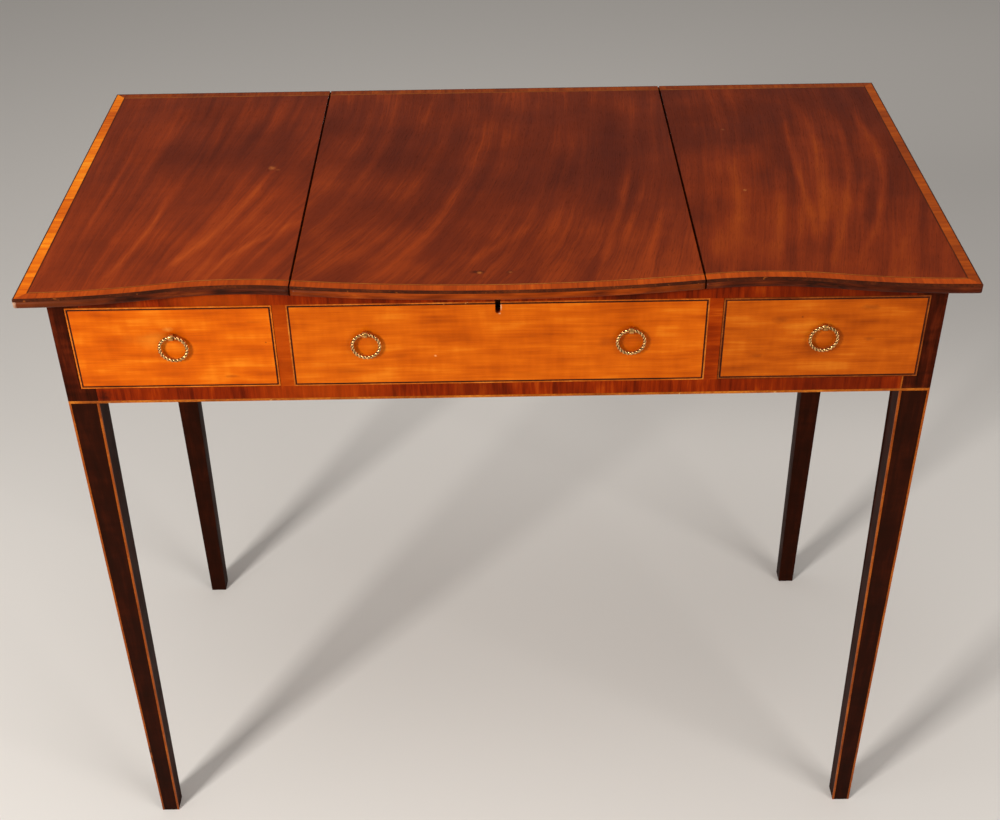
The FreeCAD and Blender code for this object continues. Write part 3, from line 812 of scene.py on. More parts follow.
Finish = FiguredMahogany | Wood | Banding | Line | Brass | Silvering
FRONTS = ("centre_front", "drawer_left_front", "drawer_right_front")
LIDS = ("left", "centre", "right")
MAHOGANY: Stops = ((0.30, "#4a180b"), (0.5, "#7c2f12"), (0.70, "#a04a1c"))
DARK_MAHOGANY: Stops = ((0.32, "#1e0702"), (0.5, "#3c1004"), (0.68, "#602009"))
OAK: Stops = ((0.26, "#643819"), (0.5, "#8c582b"), (0.74, "#ad783c"))


def lid_mahoganies() -> tuple[Finish, ...]:
    """The three lids' figured mahogany, each from its own log."""
    left = FiguredMahogany(
        "left_lid_mahogany", middle=-0.33, lean=0.42, fan=3.2, log=3.1,
        stops=((0.36, "#5c1f0d"), (0.5, "#74290f"), (0.62, "#8c3310"), (0.78, "#ac4716")),
        streaks=(
            Streak(-409, -1, -22, 5, 0.37, 0.79, 0.5), Streak(-452, 340, -287, 7, 0.57, 0.91, 1.0),
            Streak(-326, 55, -101, 8, 0.17, 0.90, 0.6), Streak(-221, -102, 0, 4, 0.47, 0.64, 0.6),
            Streak(-244, 81, -192, 9, 0.44, 0.91, 0.9), Streak(-158, -145, 0, 6, 0.53, 0.72, 0.5),
            Streak(625, -1827, 912, 9, 0.75, 0.91, 1.0), Streak(-373, -23, 0, 9, 0.14, 0.45, 0.4),
            Streak(-334, -66, 0, 7, 0.61, 0.84, 0.5),
        ),
        marks=(Mark(-247, 31.6, 7.0, 9.0, "#b0602c", 0.7), Mark(-240, 27, 5.0, 4.0, "#9c5024", 0.5)),
        middle_tone=-0.03, back_tone=0.0, front_tone=0.18,
    )
    centre = FiguredMahogany(
        "centre_lid_mahogany", middle=0.0, lean=0.4, fan=-1.0, log=11.7,
        stops=((0.36, "#511a0c"), (0.5, "#61210d"), (0.62, "#72280e"), (0.78, "#983a10")),
        streaks=(
            Streak(167, -373, 0, 22, 0.82, 0.92, 0.9), Streak(-56, 152, -223, 13, 0.53, 0.88, 0.45),
            Streak(338, -414, 0, 12, 0.77, 0.90, 0.8), Streak(190, -88, -10, 8, 0.47, 0.93, 1.0),
            Streak(220, -114, 0, 6, 0.55, 0.81, 0.7), Streak(262, -129, 0, 10, 0.65, 0.94, 0.8),
            Streak(112, -80, 0, 26, 0.19, 0.41, 0.4), Streak(174, -59, 0, 8, 0.11, 0.27, 0.4),
            Streak(-119, -41, 0, 10, 0.32, 0.56, 0.3), Streak(127, -85, 0, 22, 0.69, 0.89, 0.5),
        ),
        marks=(
            Mark(-18.7, -202.8, 13.0, 6.0, "#3a1409", 0.8), Mark(-17, -204, 5.0, 4.0, "#b9682c", 0.8),
            Mark(12.4, -203.7, 9.0, 6.0, "#4a1c0c", 0.6), Mark(13, -204, 4.0, 3.0, "#a85a26", 0.6),
        ),
        wander=15.0, broken=0.5, back_tone=0.095, front_tone=0.13,
    )
    right = FiguredMahogany(
        "right_lid_mahogany", middle=0.33, lean=0.3, fan=0.8, log=23.5,
        stops=((0.36, "#521a0a"), (0.5, "#66220a"), (0.62, "#802d0c"), (0.78, "#9c3f0e")),
        streaks=(
            Streak(258, 60, -105, 13, 0.22, 0.78, 0.6), Streak(297, -21, 0, 10, 0.30, 0.44, 0.45),
            Streak(338, -5, -24, 7, 0.15, 0.75, 0.9), Streak(353, 62, -120, 13, 0.16, 0.79, 1.0),
            Streak(385, 65, -140, 9, 0.23, 0.88, 0.9), Streak(399, 154, -227, 7, 0.22, 0.85, 0.8),
            Streak(467, -130, 0, 7, 0.47, 0.73, 0.6), Streak(348, -80, 0, 9, 0.55, 0.89, 0.7),
            Streak(641, -283, 0, 9, 0.80, 0.88, 0.4), Streak(286, -79, 0, 12, 0.73, 0.87, 0.6),
        ),
        marks=(Mark(265, -38.9, 3.6, 4.0, "#b9713a", 0.7), Mark(262, 113, 4.0, 4.0, "#9a5a34", 0.5)),
        wander=10.0, broken=0.75,
    )
    return left, centre, right


def lid_edges() -> tuple[Finish, ...]:
    """The lids' edges, worn and partly painted with shade: each front, the two ends alike, and the
    underside.
    """
    worn: Stops = ((0.36, "#2a0d03"), (0.47, "#4e1c05"), (0.58, "#6e2f08"), (0.72, "#965014"))
    dark: Stops = ((0.35, "#220903"), (0.46, "#3e1204"), (0.58, "#571d06"), (0.72, "#78340e"))
    golden: Stops = ((0.3, "#491503"), (0.44, "#742902"), (0.58, "#8f3805"), (0.72, "#a74e10"))
    rim = CAD_BOX[0].y / MM
    corner = Mark(CAD_BOX[0].x / MM, rim, 5.0, 5.0, "#c9a184", 0.75)
    # The left and right fronts' dark stops and the fronts' dark marks are painted shade under the arris;
    # the light patch at the far left and the pale corner are wear.
    fronts: dict[str, tuple[Stops, tuple[Mark, ...]]] = {
        "left": (dark, (Mark(-445, rim, 105, 60, "#6c2e0e", 0.8), corner)),
        "centre": (golden, (
            Mark(185, rim, 90, 60, "#461a04", 0.7), Mark(-195, rim, 60, 60, "#642404", 0.6),
        )),
        "right": (dark, (Mark(390, rim, 120, 60, "#2c0b03", 0.7),)),
    }
    edge: dict[str, Any] = {"streak": (2.6, 42.0), "pores": 0.3, "polish": 0.5, "cloudy": 0.55}
    return (
        *(Wood(f"{side}_lid_edge", Grain.ACROSS, stops, log=2.7, marks=marks, **edge)
          for side, (stops, marks) in fronts.items()),
        Wood("lid_end_mahogany", Grain.DEEP, worn, log=3.9, marks=(corner,), **edge),
        Wood("lid_under_mahogany", Grain.DEEP, MAHOGANY, (14.0, 320.0), pores=0.45, polish=0.5, log=12.0),
    )


def lid_bandings() -> tuple[Finish, ...]:
    """The crossbanding of the lids' runs; the left end is brighter, partly painted light and mostly painted
    sheen.
    """
    # bright, for the left end, holds painted light from the left and a painted sheen of the grain.
    bright: Stops = ((0.28, "#ba4e08"), (0.45, "#de6809"), (0.6, "#f4800f"), (0.75, "#ff9c22"))
    warm: Stops = ((0.28, "#82330a"), (0.45, "#98400b"), (0.6, "#ac4c0e"), (0.75, "#c26016"))
    orange: Stops = ((0.28, "#8a330a"), (0.45, "#a43f0a"), (0.6, "#ba4c0d"), (0.75, "#d06418"))
    brown: Stops = ((0.28, "#6c280a"), (0.45, "#84350c"), (0.6, "#98420f"), (0.75, "#ae5516"))
    return (
        Banding("front_banding", orange, stripe=4.0, leaf=82.0, swing=0.12),
        Banding("back_banding", brown, stripe=4.0, leaf=90.0, swing=0.1, log=1.3),
        Banding("left_banding", bright, stripe=6.0, leaf=75.0, swing=0.2, log=2.1),
        Banding("right_banding", warm, stripe=5.0, leaf=80.0, swing=0.12, log=3.7),
    )


def inlaid_lines() -> tuple[Finish, ...]:
    """Every thin line, from the lids to the legs, and the dark walls of the seams, painted shade for the
    gaps.
    """
    # The panels' lines step darker from left to right as painted light falling from the left.
    fronts: dict[str, Stops] = {
        "drawer_left_front": ((0.3, "#9a4208"), (0.5, "#c4600f"), (0.7, "#e08630")),
        "centre_front": ((0.3, "#8a3c08"), (0.5, "#b4560e"), (0.7, "#d8802c")),
        "drawer_right_front": ((0.3, "#5e2406"), (0.5, "#7c360a"), (0.7, "#a05418")),
    }
    boxwood: Stops = ((0.3, "#743408"), (0.5, "#a2520e"), (0.7, "#cc7a24"))
    leg: Stops = ((0.3, "#702f08"), (0.5, "#92430d"), (0.7, "#ae5c1a"))
    string: Stops = ((0.3, "#8a4412"), (0.5, "#a85c1c"), (0.7, "#c47c34"))
    black: Stops = ((0.3, "#1c0602"), (0.5, "#340e03"), (0.75, "#561e07"))
    umber: Stops = ((0.3, "#220a03"), (0.5, "#3e1505"), (0.75, "#662a0a"))
    hair: Stops = ((0.3, "#3a1406"), (0.5, "#4e1d09"), (0.75, "#66280c"))
    # The seams' walls and the middle lid's tongues are painted shade: dark and without shine, standing for
    # the gap.
    seam: Stops = ((0.3, "#180602"), (0.5, "#240a03"), (0.75, "#341106"))
    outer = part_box("leg_stringing")[0].x / MM
    bruises = front_marks((outer, 112, 8, 14, "#2a1006", 1.0), (outer, 95, 8, 12, "#2a1006", 1.0))
    return (
        *(Line(f"{front}_line", stops, chips=0.02) for front, stops in fronts.items()),
        Line("boxwood_line", boxwood, chips=0.02),
        Line("leg_line", leg, chips=0.025, chip_colour="#3a1607", marks=bruises),
        Line("lid_string", string),
        Line("ebony_line", black, chips=0.02, chip_colour="#a8682c"),
        Line("arris_line", umber, chips=0.07, chip_colour="#7a3c12"),
        Line("lid_hairline", hair),
        Line("seam_wall", seam, shines=False),
    )


def satinwoods() -> tuple[Finish, ...]:
    """The three panels' satinwood, paler to the left partly as painted light; each has its own smudges and
    nicks.
    """
    logs = {"drawer_left_front": 4.4, "centre_front": 8.8, "drawer_right_front": 13.2}
    # Each panel's tones step darker from left to right: partly the wood's own tone, partly painted light
    # falling from the left.
    tones: dict[str, Stops] = {
        "drawer_left_front": ((0.26, "#a84302"), (0.42, "#c25202"), (0.56, "#d26004"), (0.74, "#e68016")),
        "centre_front": ((0.26, "#9e3f02"), (0.42, "#ba5003"), (0.56, "#cb5e06"), (0.74, "#de7a16")),
        "drawer_right_front": ((0.26, "#8c3803"), (0.42, "#a64704"), (0.56, "#b85407"), (0.74, "#cc6e16")),
    }
    smudges: dict[str, tuple[Mark, ...]] = {
        "drawer_left_front": front_marks(
            (-269.7, 671, 13, 3, "#96400a", 0.55), (-230.8, 711, 1.6, 1.6, "#4a1c06", 0.8),
            (-240, 735, 16, 2.5, "#a84c08", 0.4), (-326, 728, 9, 5, "#f0a440", 0.35),
            (-345, 716, 46, 15, "#ee9428", 0.35),
        ),
        "centre_front": front_marks(
            (-63.2, 692, 2.4, 1.8, "#f0b070", 0.8), (106, 705, 14, 9, "#964008", 0.4),
            (-150, 676, 24, 8, "#a44a06", 0.35), (30, 668, 30, 6, "#a04606", 0.3),
            (3.2, 748, 1.3, 6.5, "#dcae84", 0.9), (1.6, 740.6, 2.4, 1.5, "#dcae84", 0.85),
            (-4, 738, 22, 9, "#b04a04", 0.3),
        ),
        "drawer_right_front": front_marks(
            (279, 728, 15, 8, "#7e3406", 0.45), (366, 741, 18, 6, "#74300a", 0.5),
            (260, 686, 16, 5, "#7e3406", 0.45), (369, 704, 11, 4, "#74300a", 0.45),
            (300, 731, 2.0, 2.0, "#4a1c06", 0.7),
        ),
    }
    return tuple(
        Wood(f"satinwood_{front}", Grain.ACROSS, tones[front], (3.2, 70.0), pores=0.1, polish=0.4,
             ripple=0.14, log=log, coat=0.03, specular=0.06, cloudy=0.66, marks=smudges[front])
        for front, log in logs.items()
    )


def frieze_bandings() -> tuple[Finish, ...]:
    """The crossbanding of the rails and dividers, darker here and lighter there."""
    rails: Stops = ((0.34, "#541201"), (0.45, "#701c01"), (0.56, "#852501"), (0.68, "#a03a04"))
    posts: Stops = ((0.36, "#7a2301"), (0.48, "#8e2d01"), (0.58, "#a03a03"), (0.7, "#ba520a"))
    bottom = front_marks(
        (-402, 649, 12, 16, "#220803", 0.75), (-175, 649, 120, 40, "#a83e04", 0.5),
        (-25, 649, 60, 40, "#5c1702", 0.55), (330, 649, 160, 40, "#561402", 0.6),
    )
    # The top rail's marks are the lid's painted shadow, darkest at both ends and right of the middle, with
    # one painted pool of light at x -275.
    top = front_marks(
        (-385, 761, 60, 40, "#340b02", 0.85), (-275, 761, 80, 40, "#b04405", 0.55),
        (-130, 761, 60, 40, "#561402", 0.5), (130, 761, 75, 40, "#2c0802", 0.8),
        (335, 761, 150, 40, "#521302", 0.6), (385, 761, 60, 40, "#3a0c02", 0.7),
    )
    # Painted light on the left divider, which the lamp on the left lights more than the right one.
    light = front_marks((-214, 706, 40, 160, "#b84a04", 0.45))
    veneer: dict[str, Any] = {"pores": 0.35, "polish": 0.42, "coat": 0.02, "specular": 0.04}
    return (
        Wood("rail_banding", Grain.UPRIGHT, rails, (4.5, 50.0), log=7.9, marks=bottom, **veneer),
        Wood("top_rail_banding", Grain.UPRIGHT, rails, (4.5, 50.0), log=6.3, marks=top, **veneer),
        Wood("post_banding", Grain.ACROSS, posts, (5.0, 45.0), log=2.2, marks=light, **veneer),
    )


def plain_woods() -> tuple[Finish, ...]:
    """Legs, boards and linings."""
    stain = (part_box("leg_stringing")[1].z, "#1f0a04")
    lining: dict[str, Any] = {"streak": (5.0, 160.0), "pores": 0.5, "polish": 0.6, "coat": 0.0}
    return (
        Wood("leg_mahogany", Grain.UPRIGHT, DARK_MAHOGANY, (7.0, 60.0), pores=0.4, polish=0.55, ripple=0.2,
             log=5.0, coat=0.0, specular=0.04, dyed=stain),
        Wood("side_mahogany", Grain.DEEP, MAHOGANY, (12.0, 220.0), pores=0.4, polish=0.38, ripple=0.05,
             log=9.0),
        Wood("ground_mahogany", Grain.ACROSS, MAHOGANY, (10.0, 180.0), pores=0.4, polish=0.45, log=6.0),
        Wood("mirror_frame_mahogany", Grain.ACROSS, MAHOGANY, (7.0, 150.0), pores=0.4, polish=0.34,
             log=1.0),
        Wood("lining_oak_deep", Grain.DEEP, OAK, log=3.0, **lining),
        Wood("lining_oak_across", Grain.ACROSS, OAK, log=8.0, **lining),
    )


def metals() -> tuple[Finish, ...]:
    """Brass of the rings, their eyes and the fittings, and the looking-glass."""
    return (
        Brass("ring_brass", "#f2bc78", "#2a1104", polish=0.2, twisted=True),
        Brass("eye_brass", "#d29a56", "#4c290c", polish=0.26),
        Brass("fitting_brass", "#b98d4a", "#5a3a18", polish=0.34),
        Silvering("silvering"),
    )


def all_finishes() -> Materials:
    """Every finish on the table, each made once, by its name."""
    finishes = (
        *lid_mahoganies(), *lid_edges(), *lid_bandings(), *inlaid_lines(), *satinwoods(),
        *frieze_bandings(), *plain_woods(), *metals(),
    )
    return {finish.name: finish.build() for finish in finishes}


# Corners closer than WELD millimetres are one, faces that turn by less than FLAT are one face, faces
# that turn by more than CURVED are shaded smooth, and edges from SHARP on are rounded.
WELD = 0.002
FLAT = math.radians(1)
CURVED = math.radians(2)
SHARP = math.radians(40)

Pick = Callable[[Vector, Vector], bool]


def put(
    name: str, shape: bmesh.types.BMesh, finish: Sequence[Material], like: str, *stands_for: str,
) -> bpy.types.Object:
    """Makes a piece of a mesh, and rides it on a node's body.

    Args:
        name: the piece's name.
        shape: its mesh, in place; it is freed.
        finish: its materials.
        like: the node whose body it takes.
        stands_for: the nodes that it replaces.

    Returns:
        The piece.
    """
    mesh = bpy.data.meshes.new(name)
    shape.to_mesh(mesh)
    shape.free()
    return settle(name, mesh, finish, like, *stands_for)


def settle(
    name: str, mesh: bpy.types.Mesh, finish: Sequence[Material], like: str, *stands_for: str,
) -> bpy.types.Object:
    """As put, for a mesh that is made already.

    Args:
        name: the piece's name.
        mesh: its mesh, in place.
        finish: its materials; none where the mesh has them.
        like: the node whose body it takes.
        stands_for: the nodes that it replaces.

    Returns:
        The piece.
    """
    for material in finish:
        mesh.materials.append(material)
    piece = bpy.data.objects.new(name, mesh)
    bpy.context.scene.collection.objects.link(piece)
    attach(piece, BODY_OF[like])
    if stands_for:
        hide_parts(*stands_for)
    LOG.info("%s rides on %s", name, BODY_OF[like])
    return piece


def solids(node: str) -> list[bmesh.types.BMesh]:
    """Closed copies of a node's solids, with the flat faces whole.

    Args:
        node: the node's name.

    Returns:
        One mesh for each solid.
    """
    whole = bmesh.new()
    whole.from_mesh(frame["nodes"][node].data)
    bmesh.ops.remove_doubles(whole, verts=whole.verts, dist=WELD * MM)
    bmesh.ops.dissolve_limit(whole, angle_limit=FLAT, verts=whole.verts, edges=whole.edges)
    whole.verts.index_update()
    left = set(whole.verts)
    found = []
    while left:
        island, front = set(), [min(left, key=lambda vert: vert.index)]
        while front:
            vert = front.pop()
            if vert not in island:
                island.add(vert)
                front.extend(edge.other_vert(vert) for edge in vert.link_edges)
        left -= island
        keep = {vert.index for vert in island}
        part = whole.copy()
        others = [vert for vert in part.verts if vert.index not in keep]
        bmesh.ops.delete(part, geom=others, context="VERTS")
        found.append(part)
    whole.free()
    return found


def corners(shape: bmesh.types.BMesh) -> tuple[Vector, Vector]:
    """The lowest and highest corners of a mesh."""
    spans = [[vert.co[axis] for vert in shape.verts] for axis in range(3)]
    return Vector([min(span) for span in spans]), Vector([max(span) for span in spans])


def soften(shape: bmesh.types.BMesh, edge: float) -> None:
    """Rounds a solid's sharp edges and shades its round faces smooth.

    Args:
        shape: the solid.
        edge: the width of the rounding, in millimetres.
    """
    for face in shape.faces:
        angles = [line.calc_face_angle(0.0) for line in face.edges]
        face.smooth = any(CURVED < angle < SHARP for angle in angles)
    sharp = [line for line in shape.edges if line.calc_face_angle(0.0) >= SHARP]
    rounded = bmesh.ops.bevel(
        shape, geom=sharp, offset=edge * MM, offset_type="OFFSET", segments=2, profile=0.5, affect="EDGES",
        clamp_overlap=True,
    )
    for face in rounded["faces"]:
        face.smooth = True


def merged(shapes: Sequence[bmesh.types.BMesh]) -> bmesh.types.BMesh:
    """Joins several meshes.

    Args:
        shapes: the meshes; they are freed.

    Returns:
        One mesh.
    """
    whole = bmesh.new()
    for shape in shapes:
        part = bpy.data.meshes.new("part")
        shape.to_mesh(part)
        shape.free()
        whole.from_mesh(part)
        bpy.data.meshes.remove(part)
    return whole


def add_block(shape: bmesh.types.BMesh, low: Vector, high: Vector) -> None:
    """Adds a block to a mesh.

    Args:
        shape: the mesh.
        low: the block's lowest corner.
        high: its highest corner.
    """
    place = Matrix.Translation((low + high) / 2) @ Matrix.Diagonal((*(high - low), 1.0))
    bmesh.ops.create_cube(shape, size=1.0, matrix=place)


def dress(
    node: str, finish: Material, edge: float, pick: Pick | None = None, name: str = "", hides: bool = True,
) -> bpy.types.Object:
    """Copies a node with softened edges and gives it a finish.

    Args:
        node: the node.
        finish: its material.
        edge: the width of the rounding, in millimetres.
        pick: chooses solids by their lowest and highest corners, where only some are meant.
        name: the piece's name, where it isn't the node's.
        hides: whether the piece stands for the node.

    Returns:
        The piece.
    """
    shapes = [shape for shape in solids(node) if pick is None or pick(*corners(shape))]
    for shape in shapes:
        soften(shape, edge)
    return put(name or f"dressed_{node}", merged(shapes), [finish], node, *([node] if hides else []))


@dataclass(frozen=True)
class TopPlan:
    """The plan of the whole top; its front has a bow, two hollows and two square shoulders."""

    half: float
    front: float
    back: float
    seam: float
    bow: float = 1480 * MM
    hollow: float = 400 * MM
    setback: float = 2 * MM

    @cached_property
    def outward(self) -> Vector:
        """The way out of the bow, where a hollow meets it."""
        lean = math.asin(self.seam / self.bow)
        return Vector((math.sin(lean), -math.cos(lean)))

    @cached_property
    def centres(self) -> tuple[Vector, Vector, Vector, float]:
        """The centres of the bow, the right hollow and the right shoulder, and the shoulder's radius."""
        bow = Vector((0.0, self.front + self.setback + self.bow))
        hollow = bow + self.outward * (self.bow + self.hollow)
        ahead = hollow.y - self.front
        reach = self.half - hollow.x
        radius = (reach ** 2 + ahead ** 2 - self.hollow ** 2) / (2 * (self.hollow + ahead))
        return bow, hollow, Vector((self.half, self.front + radius)), radius

    def front_edge(self, x: float, inset: float) -> float:
        """Where the front edge is.

        Args:
            x: the place along it.
            inset: how far the edge is drawn in.

        Returns:
            The place along Y.
        """
        bow, hollow, shoulder, radius = self.centres
        x = abs(x)
        if x <= self.outward.x * (self.bow - inset):
            return bow.y - math.sqrt((self.bow - inset) ** 2 - x ** 2)
        toward = (hollow - shoulder).normalized()
        if x <= shoulder.x + toward.x * (radius - inset):
            return hollow.y + math.sqrt((self.hollow + inset) ** 2 - (x - hollow.x) ** 2)
        return shoulder.y - math.sqrt((radius - inset) ** 2 - (x - shoulder.x) ** 2)


@dataclass
class Lid:
    """One lid: its board, crossbanding, dark arris line, and the dark and light lines inside the band.

    Widths and depths are in millimetres. foot is the rounding below: an inset, a height and how far the
    seam sides are drawn in there. The middle lid also has dark tongues that close the seams, painted shade
    for their gaps. level is the part of a normal along Z, or along X, from which its face counts as flat,
    or as an end.
    """

    side: str
    plan: TopPlan
    finishes: Materials
    steps: int = 96
    straight_steps: int = 12
    foot: tuple[Triple, ...] = ((2.2, 0.0, 0.6), (1.0, 0.4, 0.2), (0.25, 1.3, 0.04), (0.0, 2.6, 0.0))
    arris: float = 1.4
    arris_depth: float = 3.0
    arris_round: float = 0.45
    arris_crown: float = 0.13
    band: float = 11.0
    band_depth: float = 1.2
    dark_line: float = 0.6
    light_line: float = 0.9
    top_edge: float = 0.3
    seam_step: float = 0.03
    seam_edge: float = 0.5
    tongue: float = 1.5
    tongue_drop: float = 1.5
    tongue_inset: float = 0.5
    leaf_edge: float = 0.25
    level: float = 0.9
    runs: tuple[Run, ...] = field(init=False)

    def __post_init__(self) -> None:
        """Finds which runs of edge the lid has, and its place."""
        self.node = f"lid_{self.side}"
        self.low, self.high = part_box(self.node)
        self.runs = (Run.FRONT, Run.BACK) if self.side == "centre" else (Run.FRONT, Run.END, Run.BACK)

    def ends(self, inset: float, seam: float = 0.0) -> Pair:
        """The lid's left and right ends.

        Args:
            inset: how far its outer edge is drawn in.
            seam: how far its seam edge is drawn in.

        Returns:
            The two places along X.
        """
        left = inset if self.side == "left" else seam
        right = inset if self.side == "right" else seam
        return self.low.x + left, self.high.x - right

    def loop(self, inset: float, seam: float, z: float) -> list[Vector]:
        """The lid's outline at a height, along the front and back again along the rear.

        Args:
            inset: how far the outer edge is drawn in.
            seam: how far the seam edges are drawn in.
            z: the height.

        Returns:
            The outline's points.
        """
        left, right = self.ends(inset, seam)
        xs = [left + (right - left) * step / self.steps for step in range(self.steps + 1)]
        front = [Vector((x, self.plan.front_edge(x, inset), z)) for x in xs]
        return front + [Vector((x, self.plan.back - inset, z)) for x in reversed(xs)]

    def profile(self) -> list[Triple]:
        """The board's section, from below: its insets, the draw of its seam sides and its heights."""
        low, high = self.low.z, self.high.z
        string = self.band + self.dark_line + self.light_line
        step, ledge = high - self.arris_depth * MM, high - self.band_depth * MM
        rebate = [
            (0.0, step), (self.arris, step), (self.arris, ledge), (string, ledge),
            (string, high - self.top_edge * MM),
        ]
        section = [(inset, seam, low + rise * MM) for inset, rise, seam in self.foot]
        section += [(inset, self.seam_step * number, z) for number, (inset, z) in enumerate(rebate, 1)]
        return [*section, (string, self.seam_edge, high)]

    def face_of(self, face: bmesh.types.BMFace) -> LidFace:
        """Which face of the board a mesh's face belongs to.

        Args:
            face: the mesh's face.

        Returns:
            The board's face.
        """
        if face.normal.z < -self.level:
            return LidFace.UNDER
        if face.normal.z >= self.level:
            return LidFace.TOP
        if abs(face.normal.x) <= self.level:
            return LidFace.EDGE
        outer = abs(face.calc_center_median().x) > self.plan.half - self.band * MM
        return LidFace.END if outer else LidFace.SEAM

    def board(self) -> None:
        """The lid's board, rounded below and stepped down at its edge for the banding."""
        shape = bmesh.new()
        loops = [
            [shape.verts.new(point) for point in self.loop(inset * MM, seam * MM, z)]
            for inset, seam, z in self.profile()
        ]
        count = len(loops[0])
        for below, above in zip(loops, loops[1:]):
            for index in range(count):
                after = (index + 1) % count
                shape.faces.new((below[index], below[after], above[after], above[index]))
        for loop, flip in ((loops[0], True), (loops[-1], False)):
            for index in range(self.steps):
                quad = (loop[index], loop[index + 1], loop[-2 - index], loop[-1 - index])
                shape.faces.new(reversed(quad) if flip else quad)
        for face in shape.faces:
            face.normal_update()
            face.smooth = abs(face.normal.z) < self.level
            face.material_index = self.face_of(face).value
        finish_of = {
            LidFace.TOP: f"{self.side}_lid_mahogany", LidFace.EDGE: f"{self.side}_lid_edge",
            LidFace.SEAM: "seam_wall", LidFace.UNDER: "lid_under_mahogany", LidFace.END: "lid_end_mahogany",
        }
        finish = [self.finishes[finish_of[face]] for face in LidFace]
        put(f"{self.node}_board", shape, finish, self.node, self.node)

    def station(self, run: Run, share: float, inset: float) -> Vector:
        """A point of a run's line.

        Args:
            run: the run of edge.
            share: how far along it, from 0 to 1.
            inset: how far the line is drawn in.

        Returns:
            The point, at height 0.
        """
        left, right = self.ends(inset)
        back = self.plan.back - inset
        if run is Run.END:
            x = left if self.side == "left" else right
            front = self.plan.front_edge(x, inset)
            return Vector((x, front + (back - front) * share, 0.0))
        x = left + (right - left) * share
        return Vector((x, self.plan.front_edge(x, inset) if run is Run.FRONT else back, 0.0))

    def strips(self, section: Sequence[Pair]) -> bmesh.types.BMesh:
        """Strips of one section along every outer run, mitred where they meet.

        Args:
            section: the section's corners, each an inset and a depth below the top in millimetres.

        Returns:
            The strips, with a map of their own length and width.
        """
        shape = bmesh.new()
        flat = shape.loops.layers.uv.new(GRAIN_MAP)
        for number, run in enumerate(self.runs):
            steps = self.steps if run is Run.FRONT else self.straight_steps
            places: dict[bmesh.types.BMVert, Pair] = {}
            rings = []
            for step in range(steps + 1):
                ring = []
                for inset, depth in section:
                    point = self.station(run, step / steps, inset * MM)
                    point.z = self.high.z - depth * MM
                    vert = shape.verts.new(point)
                    along = point.y if run is Run.END else point.x
                    places[vert] = (along, inset * MM + depth * MM)
                    ring.append(vert)
                rings.append(ring)
            faces = [
                shape.faces.new((near[index], far[index], far[index - 1], near[index - 1]))
                for near, far in zip(rings, rings[1:]) for index in range(len(section))
            ]
            faces += [shape.faces.new(rings[0]), shape.faces.new(list(reversed(rings[-1])))]
            for face in faces:
                face.material_index = number
                for corner in face.loops:
                    corner[flat].uv = places[corner.vert]
        bmesh.ops.recalc_face_normals(shape, faces=shape.faces)
        return shape

    def inlaid(self, start: float, end: float) -> bmesh.types.BMesh:
        """Flat strips let into the step round the board.

        Args:
            start: the inset where they start, in millimetres.
            end: the inset where they end.

        Returns:
            The strips.
        """
        return self.strips([(start, 0.0), (end, 0.0), (end, self.band_depth), (start, self.band_depth)])

    def inlay(self) -> None:
        """Banding and lines, one finish for each run."""
        made, runs = self.finishes, self.runs
        dark = self.band + self.dark_line
        light = dark + self.light_line
        arris = [
            (self.arris_round, 0.0), (self.arris, 0.0), (self.arris, self.arris_depth),
            (0.0, self.arris_depth), (0.0, self.arris_round), (self.arris_crown, self.arris_crown),
        ]
        band, line = f"{self.node}_crossband", f"{self.node}_string"
        leaves = [made[f"{self.side if run is Run.END else run.value}_banding"] for run in runs]
        lines = [made["lid_hairline" if run is Run.END else "lid_string"] for run in runs]
        put(f"{band}_leaves", self.inlaid(self.arris, self.band), leaves, band, band)
        put(f"{band}_arris", self.strips(arris), [made["arris_line"]] * len(runs), band)
        put(f"{line}_dark", self.inlaid(self.band, dark), [made["lid_hairline"]] * len(runs), line)
        put(f"{line}_light", self.inlaid(dark, light), lines, line, line)

    def tongues(self) -> None:
        """Dark strips on the sides of the middle lid, within its thickness: painted shade for the seams'
        gaps.
        """
        inset = self.tongue_inset * MM
        shape = bmesh.new()
        for side, wall in ((Side.LEFT, self.low.x), (Side.RIGHT, self.high.x)):
            lip = wall + side.value * self.tongue * MM
            front = self.plan.front_edge(lip, inset)
            low = Vector((min(wall, lip), front, self.low.z + inset))
            high = Vector((max(wall, lip), self.plan.back - inset, self.high.z - self.tongue_drop * MM))
            add_block(shape, low, high)
        put(f"{self.node}_tongues", shape, [self.finishes["seam_wall"]], self.node)

    def build(self) -> None:
        """The board, its inlay, its hinge leaves and its tongues."""
        self.board()
        self.inlay()
        if self.side == "centre":
            self.tongues()
        dress(f"{self.node}_hinge_leaves", self.finishes["fitting_brass"], self.leaf_edge)


